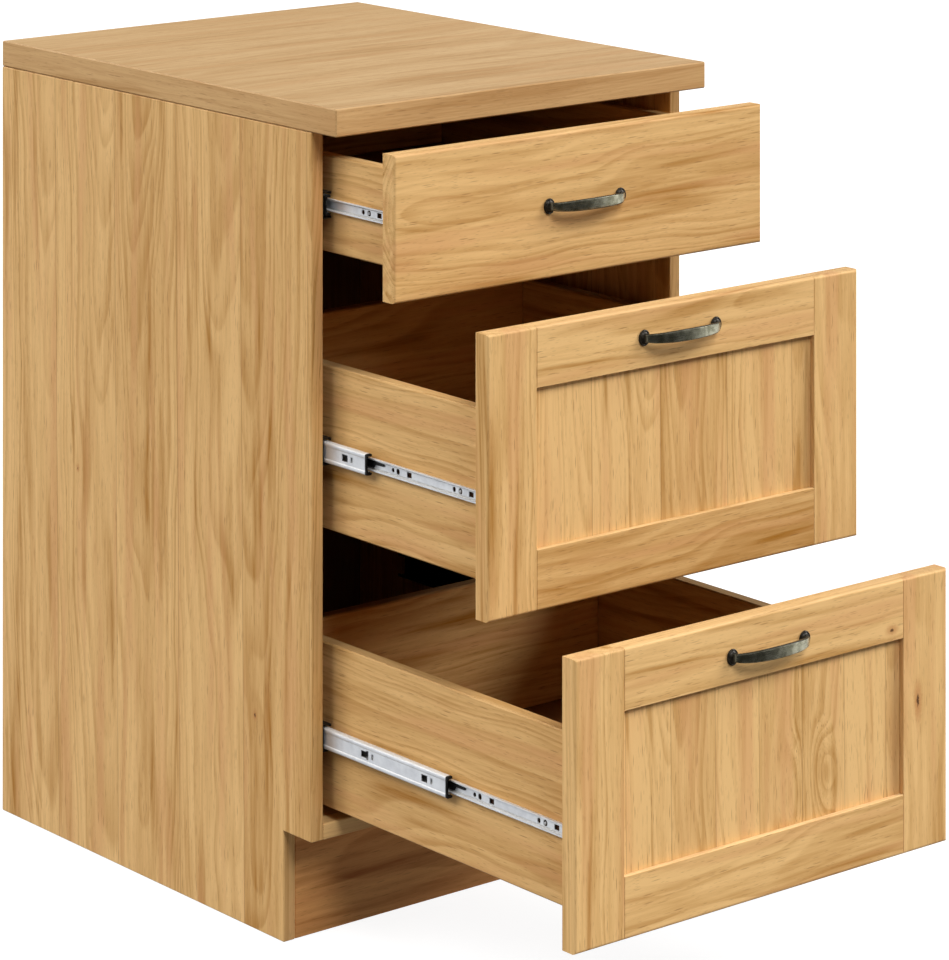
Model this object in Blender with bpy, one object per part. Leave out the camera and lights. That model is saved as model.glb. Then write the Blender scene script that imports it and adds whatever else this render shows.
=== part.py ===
"""Free-standing wooden base cabinet with three drawers on telescopic slides.

Metres, +Z up. X runs across the cabinet, the drawers open towards -Y. The origin is the centre of
the plinth board's underside, on the floor. The drawers stand part-way open, each at its own draw.
Each object is one physical piece, named as a cabinet maker would name it.
"""
from dataclasses import dataclass
from math import cos, pi, sin

import bmesh
import bpy
from mathutils import Vector

# ---------------------------------------------------------------- driving dimensions
FIT_GAP = 0.0003                    # gap between pieces that touch

CABINET_WIDTH = 0.500
CABINET_HEIGHT = 0.850              # floor to top of worktop
CABINET_DEPTH = 0.600               # worktop, front edge to rear edge

WORKTOP_THICKNESS = 0.028
WORKTOP_OVERHANG = 0.040            # worktop's front edge ahead of the carcass front
WORKTOP_EASE = 0.0012

SIDE_THICKNESS = 0.015
BOTTOM_THICKNESS = 0.016
TOE_HEIGHT = 0.112
TOE_RECESS = 0.046
PLINTH_THICKNESS = 0.016
PLINTH_SETBACK = 0.0005             # plinth board's face behind the toe notch's edge
TOP_RAIL_THICKNESS = 0.016
TOP_RAIL_WIDTH = 0.080
TOP_RAIL_SETBACK = 0.060            # front top rail's edge behind the carcass front
REAR_RAIL_THICKNESS = 0.016
REAR_RAIL_HEIGHT = 0.080
BACK_THICKNESS = 0.006
BACK_INSET = 0.018                  # back panel's rear face ahead of the carcass rear
BACK_GROOVE_DEPTH = 0.006
BOARD_EASE = 0.0010

FRONT_THICKNESS = 0.018
FRONT_SIDE_MARGIN = 0.0025          # front's end inside the cabinet's side face
FRONT_GAP = 0.006                   # between fronts, and below the worktop
FRONT_FOOT_GAP = 0.001              # lowest front above the toe notch
TOP_FRONT_HEIGHT = 0.145
FRONT_ROUND = 0.003
CLOSED_GAP = 0.002                  # front's back face ahead of the carcass front when closed

STILE_WIDTH = 0.062
RAIL_HEIGHT = 0.059
PANEL_THICKNESS = 0.008
PANEL_RECESS = 0.006                # panel's face behind the frame's face
FRAME_GROOVE_DEPTH = 0.008

BOX_SIDE_THICKNESS = 0.015
BOX_REAR_CLEARANCE = 0.063          # closed drawer box ahead of the back panel
BOX_LIFT = 0.027                    # drawer box's underside above its front's lower edge
SHALLOW_BOX_DROP = 0.021            # shallow box's upper edge below its front's
DEEP_BOX_DROP = 0.081               # deep box's upper edge below its front's
BOX_BOTTOM_THICKNESS = 0.006
BOX_BOTTOM_LIFT = 0.012             # bottom's underside above the sides' lower edge
BOX_GROOVE_DEPTH = 0.006
BOX_EASE = 0.0015

SLIDE_WIDTH = 0.013                 # from the cabinet side to the drawer side
SLIDE_REAR_CLEARANCE = 0.085        # outer rails' rear end ahead of the back panel
SLIDE_SETBACK = 0.001
INNER_RAIL_SETBACK = 0.0005         # inner rail's end behind the drawer front
SLIDE_SHEET = 0.001
OUTER_RAIL_HEIGHT = 0.027
OUTER_BALL_GAP = 0.002              # between the outer and the middle rail's flanges
INNER_BALL_GAP = 0.003              # between the middle and the inner rail's flanges
OUTER_LIP_CLEARANCE = 0.0020        # outer rail's lips from the drawer side
MIDDLE_LIP_CLEARANCE = 0.0014       # middle rail's lips from the drawer side
MIDDLE_WEB_CLEARANCE = 0.0007       # between the outer and the middle rail's webs
INNER_LIP_CLEARANCE = 0.0012        # inner rail's flanges from the middle rail's web
BEND = 0.0004                       # corner chamfer of the bent sheet

LEVER_LENGTH = 0.030
LEVER_TIP = 0.1665                  # lever's tip behind the drawer front
LEVER_THICKNESS = 0.0022
LEVER_CLEARANCE = 0.0019            # between the lever's root and the inner rail's flanges
LEVER_TAPER = 0.472                 # tip's height over the root's

HANDLE_SPACING = 0.096
HANDLE_PROJECTION = 0.017
HANDLE_THICKNESS = 0.0040
HANDLE_MIDDLE_HEIGHT = 0.0125
HANDLE_END_HEIGHT = 0.0085
ROSETTE_RADIUS = 0.0080
ROSETTE_THICKNESS = 0.0030
POST_RADIUS = 0.0045
HANDLE_SQUARENESS = 0.90            # exponent of the superellipse that the strap follows
HANDLE_STEPS = 24
ROSETTE_SIDES = 20

# ---------------------------------------------------------------- places worked out from them
CARCASS_FRONT_Y = -(TOE_RECESS + PLINTH_SETBACK + PLINTH_THICKNESS / 2)
CARCASS_DEPTH = CABINET_DEPTH - WORKTOP_OVERHANG
CARCASS_REAR_Y = CARCASS_FRONT_Y + CARCASS_DEPTH
CARCASS_TOP = CABINET_HEIGHT - WORKTOP_THICKNESS
HALF_WIDTH = CABINET_WIDTH / 2
INSIDE_X = HALF_WIDTH - SIDE_THICKNESS
BACK_REAR_Y = CARCASS_REAR_Y - BACK_INSET
BACK_FRONT_Y = BACK_REAR_Y - BACK_THICKNESS
INSIDE_DEPTH = BACK_FRONT_Y - CARCASS_FRONT_Y
BOX_OUTSIDE_X = INSIDE_X - SLIDE_WIDTH
BOX_INSIDE_X = BOX_OUTSIDE_X - BOX_SIDE_THICKNESS
FRONT_HALF_WIDTH = HALF_WIDTH - FRONT_SIDE_MARGIN
TOP_FRONT_TOP = CARCASS_TOP - FRONT_GAP
LOWEST_FRONT_BOTTOM = TOE_HEIGHT + FRONT_FOOT_GAP
DEEP_FRONT_HEIGHT = (TOP_FRONT_TOP - LOWEST_FRONT_BOTTOM - TOP_FRONT_HEIGHT - 2 * FRONT_GAP) / 2
BOX_LENGTH = INSIDE_DEPTH + CLOSED_GAP - BOX_REAR_CLEARANCE
SHALLOW_BOX_HEIGHT = TOP_FRONT_HEIGHT - BOX_LIFT - SHALLOW_BOX_DROP
DEEP_BOX_HEIGHT = DEEP_FRONT_HEIGHT - BOX_LIFT - DEEP_BOX_DROP
SLIDE_LENGTH = INSIDE_DEPTH - SLIDE_SETBACK - SLIDE_REAR_CLEARANCE
MIDDLE_RAIL_HEIGHT = OUTER_RAIL_HEIGHT - 2 * (SLIDE_SHEET + OUTER_BALL_GAP)
INNER_RAIL_HEIGHT = MIDDLE_RAIL_HEIGHT - 2 * (SLIDE_SHEET + INNER_BALL_GAP)
MIDDLE_WEB_OFFSET = FIT_GAP + SLIDE_SHEET + MIDDLE_WEB_CLEARANCE
LEVER_ROOT_HEIGHT = INNER_RAIL_HEIGHT - 2 * (SLIDE_SHEET + LEVER_CLEARANCE)


@dataclass(frozen=True)
class Drawer:
    """Sizes of one drawer and how far it stands open."""
    number: int
    front_bottom: float
    front_height: float
    box_height: float
    slide_lift: float               # slide's centre line above the box's underside
    handle_drop: float              # handle's centre line below the front's upper edge
    framed: bool                    # frame and panel, or one slab
    middle_draw: float              # middle rails' travel out of the cabinet
    inner_draw: float               # drawer's travel along the middle rails

    @property
    def back_of_front(self):
        """Y of the front's back face."""
        return CARCASS_FRONT_Y - CLOSED_GAP - self.middle_draw - self.inner_draw

    @property
    def box_bottom(self):
        """Z of the box's underside."""
        return self.front_bottom + BOX_LIFT

    @property
    def slide_z(self):
        """Z of the slides' centre line."""
        return self.box_bottom + self.slide_lift

    @property
    def front_top(self):
        """Z of the front's upper edge."""
        return self.front_bottom + self.front_height


DRAWERS = (
    Drawer(1, TOP_FRONT_TOP - TOP_FRONT_HEIGHT, TOP_FRONT_HEIGHT, SHALLOW_BOX_HEIGHT,
           slide_lift=0.049, handle_drop=TOP_FRONT_HEIGHT / 2, framed=False,
           middle_draw=0.0, inner_draw=0.1085),
    Drawer(2, LOWEST_FRONT_BOTTOM + DEEP_FRONT_HEIGHT + FRONT_GAP, DEEP_FRONT_HEIGHT, DEEP_BOX_HEIGHT,
           slide_lift=0.081, handle_drop=RAIL_HEIGHT / 2, framed=True,
           middle_draw=0.0665, inner_draw=0.1837),
    Drawer(3, LOWEST_FRONT_BOTTOM, DEEP_FRONT_HEIGHT, DEEP_BOX_HEIGHT,
           slide_lift=0.073, handle_drop=0.034, framed=True,
           middle_draw=0.1917, inner_draw=0.1837),
)
SIDES = (("left", -1), ("right", 1))

# Windows punched in the rails' webs: distance behind the rail's front end, length, and height as
# a share of the rail's.
MIDDLE_RAIL_WINDOWS = (
    (0.0230, 0.0030, 0.286),
    (0.0340, 0.0090, 0.357),
    (0.1150, 0.0030, 0.267),
    (0.1265, 0.0110, 0.333),
)
INNER_RAIL_WINDOWS = (
    (0.0330, 0.0072, 0.400),
    (0.0493, 0.0060, 0.508),
    (0.0587, 0.0044, 0.400),
    (0.1277, 0.0072, 0.415),
    (0.1453, 0.0043, 0.508),
    (0.1531, 0.0040, 0.277),
)


# ---------------------------------------------------------------- materials
def material(name, colour, roughness, metallic=0.0):
    """Principled material, made once for each name."""
    found = bpy.data.materials.get(name)
    if found:
        return found
    made = bpy.data.materials.new(name)
    made.use_nodes = True
    shader = made.node_tree.nodes["Principled BSDF"]
    shader.inputs["Base Color"].default_value = (*colour, 1.0)
    shader.inputs["Roughness"].default_value = roughness
    shader.inputs["Metallic"].default_value = metallic
    return made


def pine():
    """Oiled honey-coloured pine."""
    return material("oiled_pine", (0.56, 0.33, 0.12), 0.45)


def worktop_oak():
    """Pale oak-patterned worktop surface."""
    return material("worktop_oak", (0.60, 0.40, 0.20), 0.40)


def ply():
    """Thin plywood of the back and the drawer bottoms."""
    return material("thin_ply", (0.50, 0.32, 0.15), 0.60)


def zinc():
    """Bright zinc-plated slide steel."""
    return material("zinc_steel", (0.75, 0.75, 0.76), 0.28, 1.0)


def bronze():
    """Dark burnished handle metal."""
    return material("burnished_bronze", (0.16, 0.14, 0.12), 0.38, 1.0)


def black_plastic():
    """Moulded black plastic."""
    return material("black_plastic", (0.02, 0.02, 0.02), 0.50)


# ---------------------------------------------------------------- modelling helpers
def add_object(name, mesh, finish, parent=None):
    """Link a mesh as a named object under its parent, keeping its place in the world."""
    made = bpy.data.objects.new(name, mesh)
    bpy.context.scene.collection.objects.link(made)
    mesh.materials.append(finish)
    if parent is not None:
        made.parent = parent
        made.matrix_parent_inverse = parent.matrix_world.inverted()
    return made


def joint_empty(name, place, parent=None):
    """Empty on a slide's axis, which the pieces that move there hang from."""
    made = bpy.data.objects.new(name, None)
    bpy.context.scene.collection.objects.link(made)
    made.location = place
    if parent is not None:
        made.parent = parent
        made.matrix_parent_inverse = parent.matrix_world.inverted()
    bpy.context.view_layer.update()
    return made


def finish_bmesh(bm, name):
    """Turn a bmesh into a mesh with its faces pointing out."""
    bmesh.ops.recalc_face_normals(bm, faces=bm.faces)
    if bm.calc_volume(signed=True) < 0.0:
        bmesh.ops.reverse_faces(bm, faces=bm.faces)
    mesh = bpy.data.meshes.new(name)
    bm.to_mesh(mesh)
    bm.free()
    return mesh


def box_bmesh(low, high):
    """Box between two corners."""
    bm = bmesh.new()
    bmesh.ops.create_cube(bm, size=1.0)
    low = Vector(low)
    high = Vector(high)
    for vert in bm.verts:
        share = vert.co + Vector((0.5, 0.5, 0.5))
        vert.co = Vector(low[i] + share[i] * (high[i] - low[i]) for i in range(3))
    return bm


def round_edges(bm, chosen, offset, segments):
    """Round the edges that a test chooses by their middle point."""
    picked = [edge for edge in bm.edges if chosen((edge.verts[0].co + edge.verts[1].co) / 2)]
    bmesh.ops.bevel(bm, geom=picked, offset=offset, segments=segments, profile=0.5,
                    affect="EDGES", clamp_overlap=True)


def board(name, low, high, finish, ease=BOARD_EASE, parent=None):
    """Board with all its edges eased by a small chamfer."""
    bm = box_bmesh(low, high)
    if ease > 0.0:
        round_edges(bm, lambda middle: True, ease, 1)
    return add_object(name, finish_bmesh(bm, name), finish, parent)


def cut(target, low, high):
    """Cut a box-shaped housing, groove or window out of a piece."""
    name = f"cutter_{target.name}_{len(target.modifiers)}"
    cutter = add_object(name, finish_bmesh(box_bmesh(low, high), name), black_plastic())
    cutter.hide_render = True
    cutter.display_type = "WIRE"
    modifier = target.modifiers.new("cut", "BOOLEAN")
    modifier.operation = "DIFFERENCE"
    modifier.solver = "EXACT"
    modifier.object = cutter


def extruded(name, outline, place, finish, parent=None):
    """Prism over a closed outline; place maps an outline point and an end (0 or 1) to space."""
    bm = bmesh.new()
    ends = []
    for end in (0, 1):
        ends.append([bm.verts.new(place(point, end)) for point in outline])
    close_sections(bm, ends)
    return add_object(name, finish_bmesh(bm, name), finish, parent)


def close_sections(bm, sections, left_open=frozenset()):
    """Skin a row of like sections and cap its ends.

    left_open holds the (interval, outline side) pairs that get no face.
    """
    count = len(sections[0])
    for interval, (ring, following) in enumerate(zip(sections, sections[1:])):
        for i in range(count):
            if (interval, i) in left_open:
                continue
            j = (i + 1) % count
            bm.faces.new((ring[i], ring[j], following[j], following[i]))
    caps = [bm.faces.new(sections[0]), bm.faces.new(reversed(sections[-1]))]
    for cap in caps:
        cap.normal_update()
    bmesh.ops.triangulate(bm, faces=caps)


# ---------------------------------------------------------------- carcass
def make_side_panel(side, sign):
    """Side panel down to the floor, with the toe notch and the back panel's groove."""
    outer = sign * HALF_WIDTH
    inner = sign * INSIDE_X
    notch_y = CARCASS_FRONT_Y + TOE_RECESS
    outline = (
        (notch_y, 0.0),
        (CARCASS_REAR_Y, 0.0),
        (CARCASS_REAR_Y, CARCASS_TOP - FIT_GAP),
        (CARCASS_FRONT_Y, CARCASS_TOP - FIT_GAP),
        (CARCASS_FRONT_Y, TOE_HEIGHT),
        (notch_y, TOE_HEIGHT),
    )
    bm = bmesh.new()
    face = bm.faces.new([bm.verts.new((outer, y, z)) for y, z in outline])
    grown = bmesh.ops.extrude_face_region(bm, geom=[face])
    for item in grown["geom"]:
        if isinstance(item, bmesh.types.BMVert):
            item.co.x = inner
    notch = Vector((0.0, notch_y, TOE_HEIGHT))
    round_edges(bm, lambda middle: abs(middle.y - notch.y) + abs(middle.z - notch.z) > BOARD_EASE,
                BOARD_EASE, 1)
    panel = add_object(f"{side}_side_panel", finish_bmesh(bm, side), pine())
    groove_x = sign * (INSIDE_X + BACK_GROOVE_DEPTH)
    past_x = sign * (INSIDE_X - SIDE_THICKNESS)
    cut(panel,
        (min(groove_x, past_x), BACK_FRONT_Y - FIT_GAP, TOE_HEIGHT - FIT_GAP),
        (max(groove_x, past_x), BACK_REAR_Y + FIT_GAP, CARCASS_TOP + SIDE_THICKNESS))


def make_carcass():
    """Worktop, sides, bottom, back, rails and plinth."""
    board("worktop",
          (-HALF_WIDTH, CARCASS_FRONT_Y - WORKTOP_OVERHANG, CARCASS_TOP),
          (HALF_WIDTH, CARCASS_REAR_Y, CABINET_HEIGHT), worktop_oak(), ease=WORKTOP_EASE)
    for side, sign in SIDES:
        make_side_panel(side, sign)
    span = INSIDE_X - FIT_GAP
    board("bottom_panel",
          (-span, CARCASS_FRONT_Y, TOE_HEIGHT),
          (span, BACK_FRONT_Y - FIT_GAP, TOE_HEIGHT + BOTTOM_THICKNESS), pine())
    board("plinth_board",
          (-span, CARCASS_FRONT_Y + TOE_RECESS + PLINTH_SETBACK, 0.0),
          (span, CARCASS_FRONT_Y + TOE_RECESS + PLINTH_SETBACK + PLINTH_THICKNESS,
           TOE_HEIGHT - FIT_GAP), pine())
    board("front_top_rail",
          (-span, CARCASS_FRONT_Y + TOP_RAIL_SETBACK, CARCASS_TOP - FIT_GAP - TOP_RAIL_THICKNESS),
          (span, CARCASS_FRONT_Y + TOP_RAIL_SETBACK + TOP_RAIL_WIDTH, CARCASS_TOP - FIT_GAP),
          pine())
    board("rear_top_rail",
          (-span, CARCASS_REAR_Y - REAR_RAIL_THICKNESS, CARCASS_TOP - FIT_GAP - REAR_RAIL_HEIGHT),
          (span, CARCASS_REAR_Y, CARCASS_TOP - FIT_GAP), pine())
    reach = INSIDE_X + BACK_GROOVE_DEPTH - FIT_GAP
    board("back_panel",
          (-reach, BACK_FRONT_Y, TOE_HEIGHT),
          (reach, BACK_REAR_Y, CARCASS_TOP - FIT_GAP), ply(), ease=0.0)


# ---------------------------------------------------------------- telescopic slides
@dataclass(frozen=True)
class Channel:
    """Section of a C-shaped rail, in distances from the cabinet side and heights.

    The web runs between web_outer and web_inner. The flanges run from the web to reach, and
    each carries a lip there that turns in to the height lip_to, or none where lip_to is None.
    The sheet's free edges are coined to a slight taper.
    """
    web_outer: float
    web_inner: float
    reach: float
    half_height: float
    lip_to: float | None = None

    def outline(self, edge):
        """Closed outline, with points on both faces of the web at the heights -edge and edge.

        Sides 0 and half its count run between those points.
        """
        top = self.half_height
        way = 1 if self.reach > self.web_outer else -1
        upper = [(self.web_outer, edge), (self.web_outer, top - BEND),
                 (self.web_outer + way * BEND, top)]
        if self.lip_to is None:
            upper += [(self.reach, top), (self.reach - way * BEND, top - SLIDE_SHEET)]
        else:
            upper += [(self.reach - way * BEND, top), (self.reach, top - BEND),
                      (self.reach - way * BEND, self.lip_to),
                      (self.reach - way * SLIDE_SHEET, self.lip_to),
                      (self.reach - way * SLIDE_SHEET, top - SLIDE_SHEET)]
        upper += [(self.web_inner, top - SLIDE_SHEET), (self.web_inner, edge)]
        lower = [(distance, -height) for distance, height in reversed(upper)]
        return lower[-1:] + upper + lower[:-1]


def make_rail(name, sign, channel, front_y, height, windows, parent=None):
    """Rail of one section with windows through its web, on the side of the cabinet given by sign.

    windows holds (distance of the middle behind front_y, length, share of the rail's height) of
    each, front to rear.
    """
    plain_edge = channel.half_height / 2
    stations = [(0.0, plain_edge)]
    for middle, length, share in windows:
        edge = share * channel.half_height
        stations += [(middle - length / 2, edge), (middle + length / 2, edge)]
    stations.append((SLIDE_LENGTH, plain_edge))
    bm = bmesh.new()
    sections = []
    for along, edge in stations:
        sections.append([bm.verts.new((sign * (INSIDE_X - distance), front_y + along, height + lift))
                         for distance, lift in channel.outline(edge)])
    outer_low, outer_high = 0, 1
    inner_high = len(sections[0]) // 2
    inner_low = inner_high + 1
    left_open = set()
    for number in range(len(windows)):
        interval = 2 * number + 1
        left_open |= {(interval, outer_low), (interval, inner_high)}
        start = sections[interval]
        end = sections[interval + 1]
        for outer, inner in ((outer_low, inner_low), (outer_high, inner_high)):
            bm.faces.new((start[outer], start[inner], end[inner], end[outer]))
        for ring in (start, end):
            bm.faces.new((ring[outer_low], ring[outer_high], ring[inner_high], ring[inner_low]))
    close_sections(bm, sections, left_open)
    return add_object(name, finish_bmesh(bm, name), zinc(), parent)


def make_outer_rails(drawer):
    """Rails screwed to the cabinet's sides."""
    channel = Channel(FIT_GAP, FIT_GAP + SLIDE_SHEET, SLIDE_WIDTH - OUTER_LIP_CLEARANCE,
                      OUTER_RAIL_HEIGHT / 2, MIDDLE_RAIL_HEIGHT / 2 + FIT_GAP)
    for side, sign in SIDES:
        make_rail(f"drawer_{drawer.number}_{side}_outer_rail", sign, channel,
                  CARCASS_FRONT_Y + SLIDE_SETBACK, drawer.slide_z, ())


def make_middle_rails(drawer, parent):
    """Rails that travel between the cabinet's rails and the drawer's."""
    channel = Channel(MIDDLE_WEB_OFFSET, MIDDLE_WEB_OFFSET + SLIDE_SHEET,
                      SLIDE_WIDTH - MIDDLE_LIP_CLEARANCE, MIDDLE_RAIL_HEIGHT / 2,
                      INNER_RAIL_HEIGHT / 2 + FIT_GAP)
    for side, sign in SIDES:
        make_rail(f"drawer_{drawer.number}_{side}_middle_rail", sign, channel,
                  CARCASS_FRONT_Y + SLIDE_SETBACK - drawer.middle_draw, drawer.slide_z,
                  MIDDLE_RAIL_WINDOWS, parent)


def make_inner_rails(drawer, parent):
    """Rails screwed to the drawer's sides."""
    face = SLIDE_WIDTH - FIT_GAP
    channel = Channel(face, face - SLIDE_SHEET,
                      MIDDLE_WEB_OFFSET + SLIDE_SHEET + INNER_LIP_CLEARANCE, INNER_RAIL_HEIGHT / 2)
    for side, sign in SIDES:
        make_rail(f"drawer_{drawer.number}_{side}_inner_rail", sign, channel,
                  drawer.back_of_front + INNER_RAIL_SETBACK, drawer.slide_z,
                  INNER_RAIL_WINDOWS, parent)


def make_release_levers(drawer, parent):
    """Tapered plastic levers that lie in the drawer's rails and free them from the slides."""
    face = SLIDE_WIDTH - FIT_GAP - SLIDE_SHEET - FIT_GAP
    root = LEVER_ROOT_HEIGHT / 2
    tip = root * LEVER_TAPER
    outline = ((0.0, -tip), (0.0, tip), (LEVER_LENGTH * 0.55, tip), (LEVER_LENGTH * 0.75, root),
               (LEVER_LENGTH, root), (LEVER_LENGTH, -root), (LEVER_LENGTH * 0.75, -root),
               (LEVER_LENGTH * 0.55, -tip))
    for side, sign in SIDES:
        def place(point, end, sign=sign):
            along, lift = point
            return (sign * (INSIDE_X - face + end * LEVER_THICKNESS),
                    drawer.back_of_front + LEVER_TIP + along, drawer.slide_z + lift)
        extruded(f"drawer_{drawer.number}_{side}_release_lever", outline, place,
                 black_plastic(), parent)


# ---------------------------------------------------------------- drawer boxes
def make_drawer_box(drawer, parent):
    """Sides, back and bottom of one drawer."""
    front = drawer.back_of_front + FIT_GAP
    rear = drawer.back_of_front + BOX_LENGTH
    low = drawer.box_bottom
    top = low + drawer.box_height
    bottom_low = low + BOX_BOTTOM_LIFT
    bottom_top = bottom_low + BOX_BOTTOM_THICKNESS
    for side, sign in SIDES:
        ends = sorted((sign * BOX_OUTSIDE_X, sign * BOX_INSIDE_X))
        wall = board(f"drawer_{drawer.number}_{side}_side", (ends[0], front, low),
                     (ends[1], rear, top), pine(), BOX_EASE, parent)
        groove = sorted((sign * (BOX_INSIDE_X + BOX_GROOVE_DEPTH),
                         sign * (BOX_INSIDE_X - BOX_SIDE_THICKNESS)))
        cut(wall, (groove[0], front - BOX_SIDE_THICKNESS, bottom_low - FIT_GAP),
            (groove[1], rear + BOX_SIDE_THICKNESS, bottom_top + FIT_GAP))
    span = BOX_INSIDE_X - FIT_GAP
    board(f"drawer_{drawer.number}_back", (-span, rear - BOX_SIDE_THICKNESS, bottom_top + FIT_GAP),
          (span, rear, top), pine(), BOX_EASE, parent)
    reach = BOX_INSIDE_X + BOX_GROOVE_DEPTH - FIT_GAP
    board(f"drawer_{drawer.number}_bottom", (-reach, front, bottom_low),
          (reach, rear, bottom_top), ply(), 0.0, parent)


# ---------------------------------------------------------------- drawer fronts
def front_board(name, low, high, rounded, parent):
    """Board of a drawer front, rounded along the front edges that a test chooses."""
    bm = box_bmesh(low, high)
    front_y = low[1]
    limit = FRONT_ROUND / 2
    round_edges(bm, lambda middle: abs(middle.y - front_y) < limit and rounded(middle),
                FRONT_ROUND, 3)
    return add_object(name, finish_bmesh(bm, name), pine(), parent)


def make_slab_front(drawer, parent):
    """One solid board."""
    front = drawer.back_of_front - FRONT_THICKNESS
    front_board(f"drawer_{drawer.number}_front",
                (-FRONT_HALF_WIDTH, front, drawer.front_bottom),
                (FRONT_HALF_WIDTH, drawer.back_of_front, drawer.front_top),
                lambda middle: True, parent)


def make_framed_front(drawer, parent):
    """Stiles, rails and a panel held in the frame's grooves."""
    prefix = f"drawer_{drawer.number}"
    front = drawer.back_of_front - FRONT_THICKNESS
    back = drawer.back_of_front
    low = drawer.front_bottom
    top = drawer.front_top
    stile_x = FRONT_HALF_WIDTH - STILE_WIDTH
    groove_front = front + PANEL_RECESS
    groove_back = groove_front + PANEL_THICKNESS
    past = FRAME_GROOVE_DEPTH
    for side, sign in SIDES:
        ends = sorted((sign * FRONT_HALF_WIDTH, sign * stile_x))
        stile = front_board(f"{prefix}_{side}_stile", (ends[0], front, low), (ends[1], back, top),
                            lambda middle, sign=sign: sign * middle.x > stile_x + FRONT_ROUND,
                            parent)
        groove = sorted((sign * (stile_x + FRAME_GROOVE_DEPTH), sign * (stile_x - past)))
        cut(stile, (groove[0], groove_front - FIT_GAP, low - past),
            (groove[1], groove_back + FIT_GAP, top + past))
    tongue_x = stile_x + FRAME_GROOVE_DEPTH - FIT_GAP
    shoulder_x = stile_x - FIT_GAP
    for place, rail_low, rail_top, edge in (
            ("top_rail", top - RAIL_HEIGHT, top, top),
            ("bottom_rail", low, low + RAIL_HEIGHT, low)):
        rail = front_board(f"{prefix}_{place}", (-tongue_x, front, rail_low),
                           (tongue_x, back, rail_top),
                           lambda middle, edge=edge: abs(middle.z - edge) < FRONT_ROUND, parent)
        for sign in (-1, 1):
            ends = sorted((sign * shoulder_x, sign * (tongue_x + past)))
            cut(rail, (ends[0], front - past, rail_low - past), (ends[1], groove_front, rail_top + past))
            cut(rail, (ends[0], groove_back, rail_low - past), (ends[1], back + past, rail_top + past))
        inner_edge = rail_low if edge == top else rail_top
        way = 1 if edge == top else -1
        groove = sorted((inner_edge + way * FRAME_GROOVE_DEPTH, inner_edge - way * past))
        cut(rail, (-tongue_x - past, groove_front - FIT_GAP, groove[0]),
            (tongue_x + past, groove_back + FIT_GAP, groove[1]))
    board(f"{prefix}_front_panel",
          (-tongue_x, groove_front, low + RAIL_HEIGHT - FRAME_GROOVE_DEPTH + FIT_GAP),
          (tongue_x, groove_back, top - RAIL_HEIGHT + FRAME_GROOVE_DEPTH - FIT_GAP), pine(),
          0.0, parent)


# ---------------------------------------------------------------- handles
def handle_path(step):
    """Middle of the strap at a step from one foot to the other: across and out from the face.

    The strap leaves each foot square to the face and bows out between them, on a superellipse.
    """
    angle = pi * step / HANDLE_STEPS
    across = cos(angle)
    out = sin(angle)
    sign = 1 if across >= 0 else -1
    return (-sign * abs(across) ** HANDLE_SQUARENESS * HANDLE_SPACING / 2,
            out ** HANDLE_SQUARENESS * (HANDLE_PROJECTION - HANDLE_THICKNESS / 2))


def make_handle(drawer, parent):
    """Bowed strap handle with a round foot at each end."""
    face = drawer.back_of_front - FRONT_THICKNESS - FIT_GAP
    height = drawer.front_top - drawer.handle_drop
    bm = bmesh.new()
    rings = []
    points = [handle_path(step) for step in range(HANDLE_STEPS + 1)]
    foot = ROSETTE_THICKNESS * 0.5
    for step, (across, out) in enumerate(points):
        before = points[max(step - 1, 0)]
        after = points[min(step + 1, HANDLE_STEPS)]
        run = Vector((after[0] - before[0], after[1] - before[1]))
        if step in (0, HANDLE_STEPS):
            run = Vector((0.0, 1.0 if step == 0 else -1.0))
        run.normalize()
        side = Vector((-run.y, run.x)) * (HANDLE_THICKNESS / 2)
        share = sin(pi * step / HANDLE_STEPS) ** 1.5
        half = (HANDLE_END_HEIGHT + (HANDLE_MIDDLE_HEIGHT - HANDLE_END_HEIGHT) * share) / 2
        ring = []
        for turn, lift in ((1, -1), (1, 1), (-1, 1), (-1, -1)):
            x = across + turn * side.x
            y = face - foot - out - turn * side.y
            ring.append(bm.verts.new((x, y, height + lift * half)))
        rings.append(ring)
    for ring, following in zip(rings, rings[1:]):
        for i in range(4):
            j = (i + 1) % 4
            bm.faces.new((ring[i], ring[j], following[j], following[i]))
    bm.faces.new(rings[0])
    bm.faces.new(reversed(rings[-1]))
    name = f"drawer_{drawer.number}_handle"
    strap = add_object(name, finish_bmesh(bm, name), bronze(), parent)
    for side, sign in SIDES:
        add_foot(strap, f"{name}_{side}_foot", sign * HANDLE_SPACING / 2, face, height)


def add_foot(strap, name, x, face, height):
    """Join a round, domed foot to the strap."""
    bm = bmesh.new()
    levels = ((ROSETTE_RADIUS, 0.0), (ROSETTE_RADIUS, ROSETTE_THICKNESS * 0.55),
              (ROSETTE_RADIUS * 0.82, ROSETTE_THICKNESS), (POST_RADIUS, ROSETTE_THICKNESS * 1.35))
    rings = []
    for radius, out in levels:
        ring = []
        for i in range(ROSETTE_SIDES):
            angle = 2 * pi * i / ROSETTE_SIDES
            ring.append(bm.verts.new((x + radius * cos(angle), face - out,
                                      height + radius * sin(angle))))
        rings.append(ring)
    for ring, following in zip(rings, rings[1:]):
        for i in range(ROSETTE_SIDES):
            j = (i + 1) % ROSETTE_SIDES
            bm.faces.new((ring[i], ring[j], following[j], following[i]))
    bm.faces.new(rings[0])
    bm.faces.new(reversed(rings[-1]))
    foot = add_object(name, finish_bmesh(bm, name), bronze())
    foot.hide_render = True
    foot.display_type = "WIRE"
    modifier = strap.modifiers.new("foot", "BOOLEAN")
    modifier.operation = "UNION"
    modifier.solver = "EXACT"
    modifier.object = foot


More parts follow.
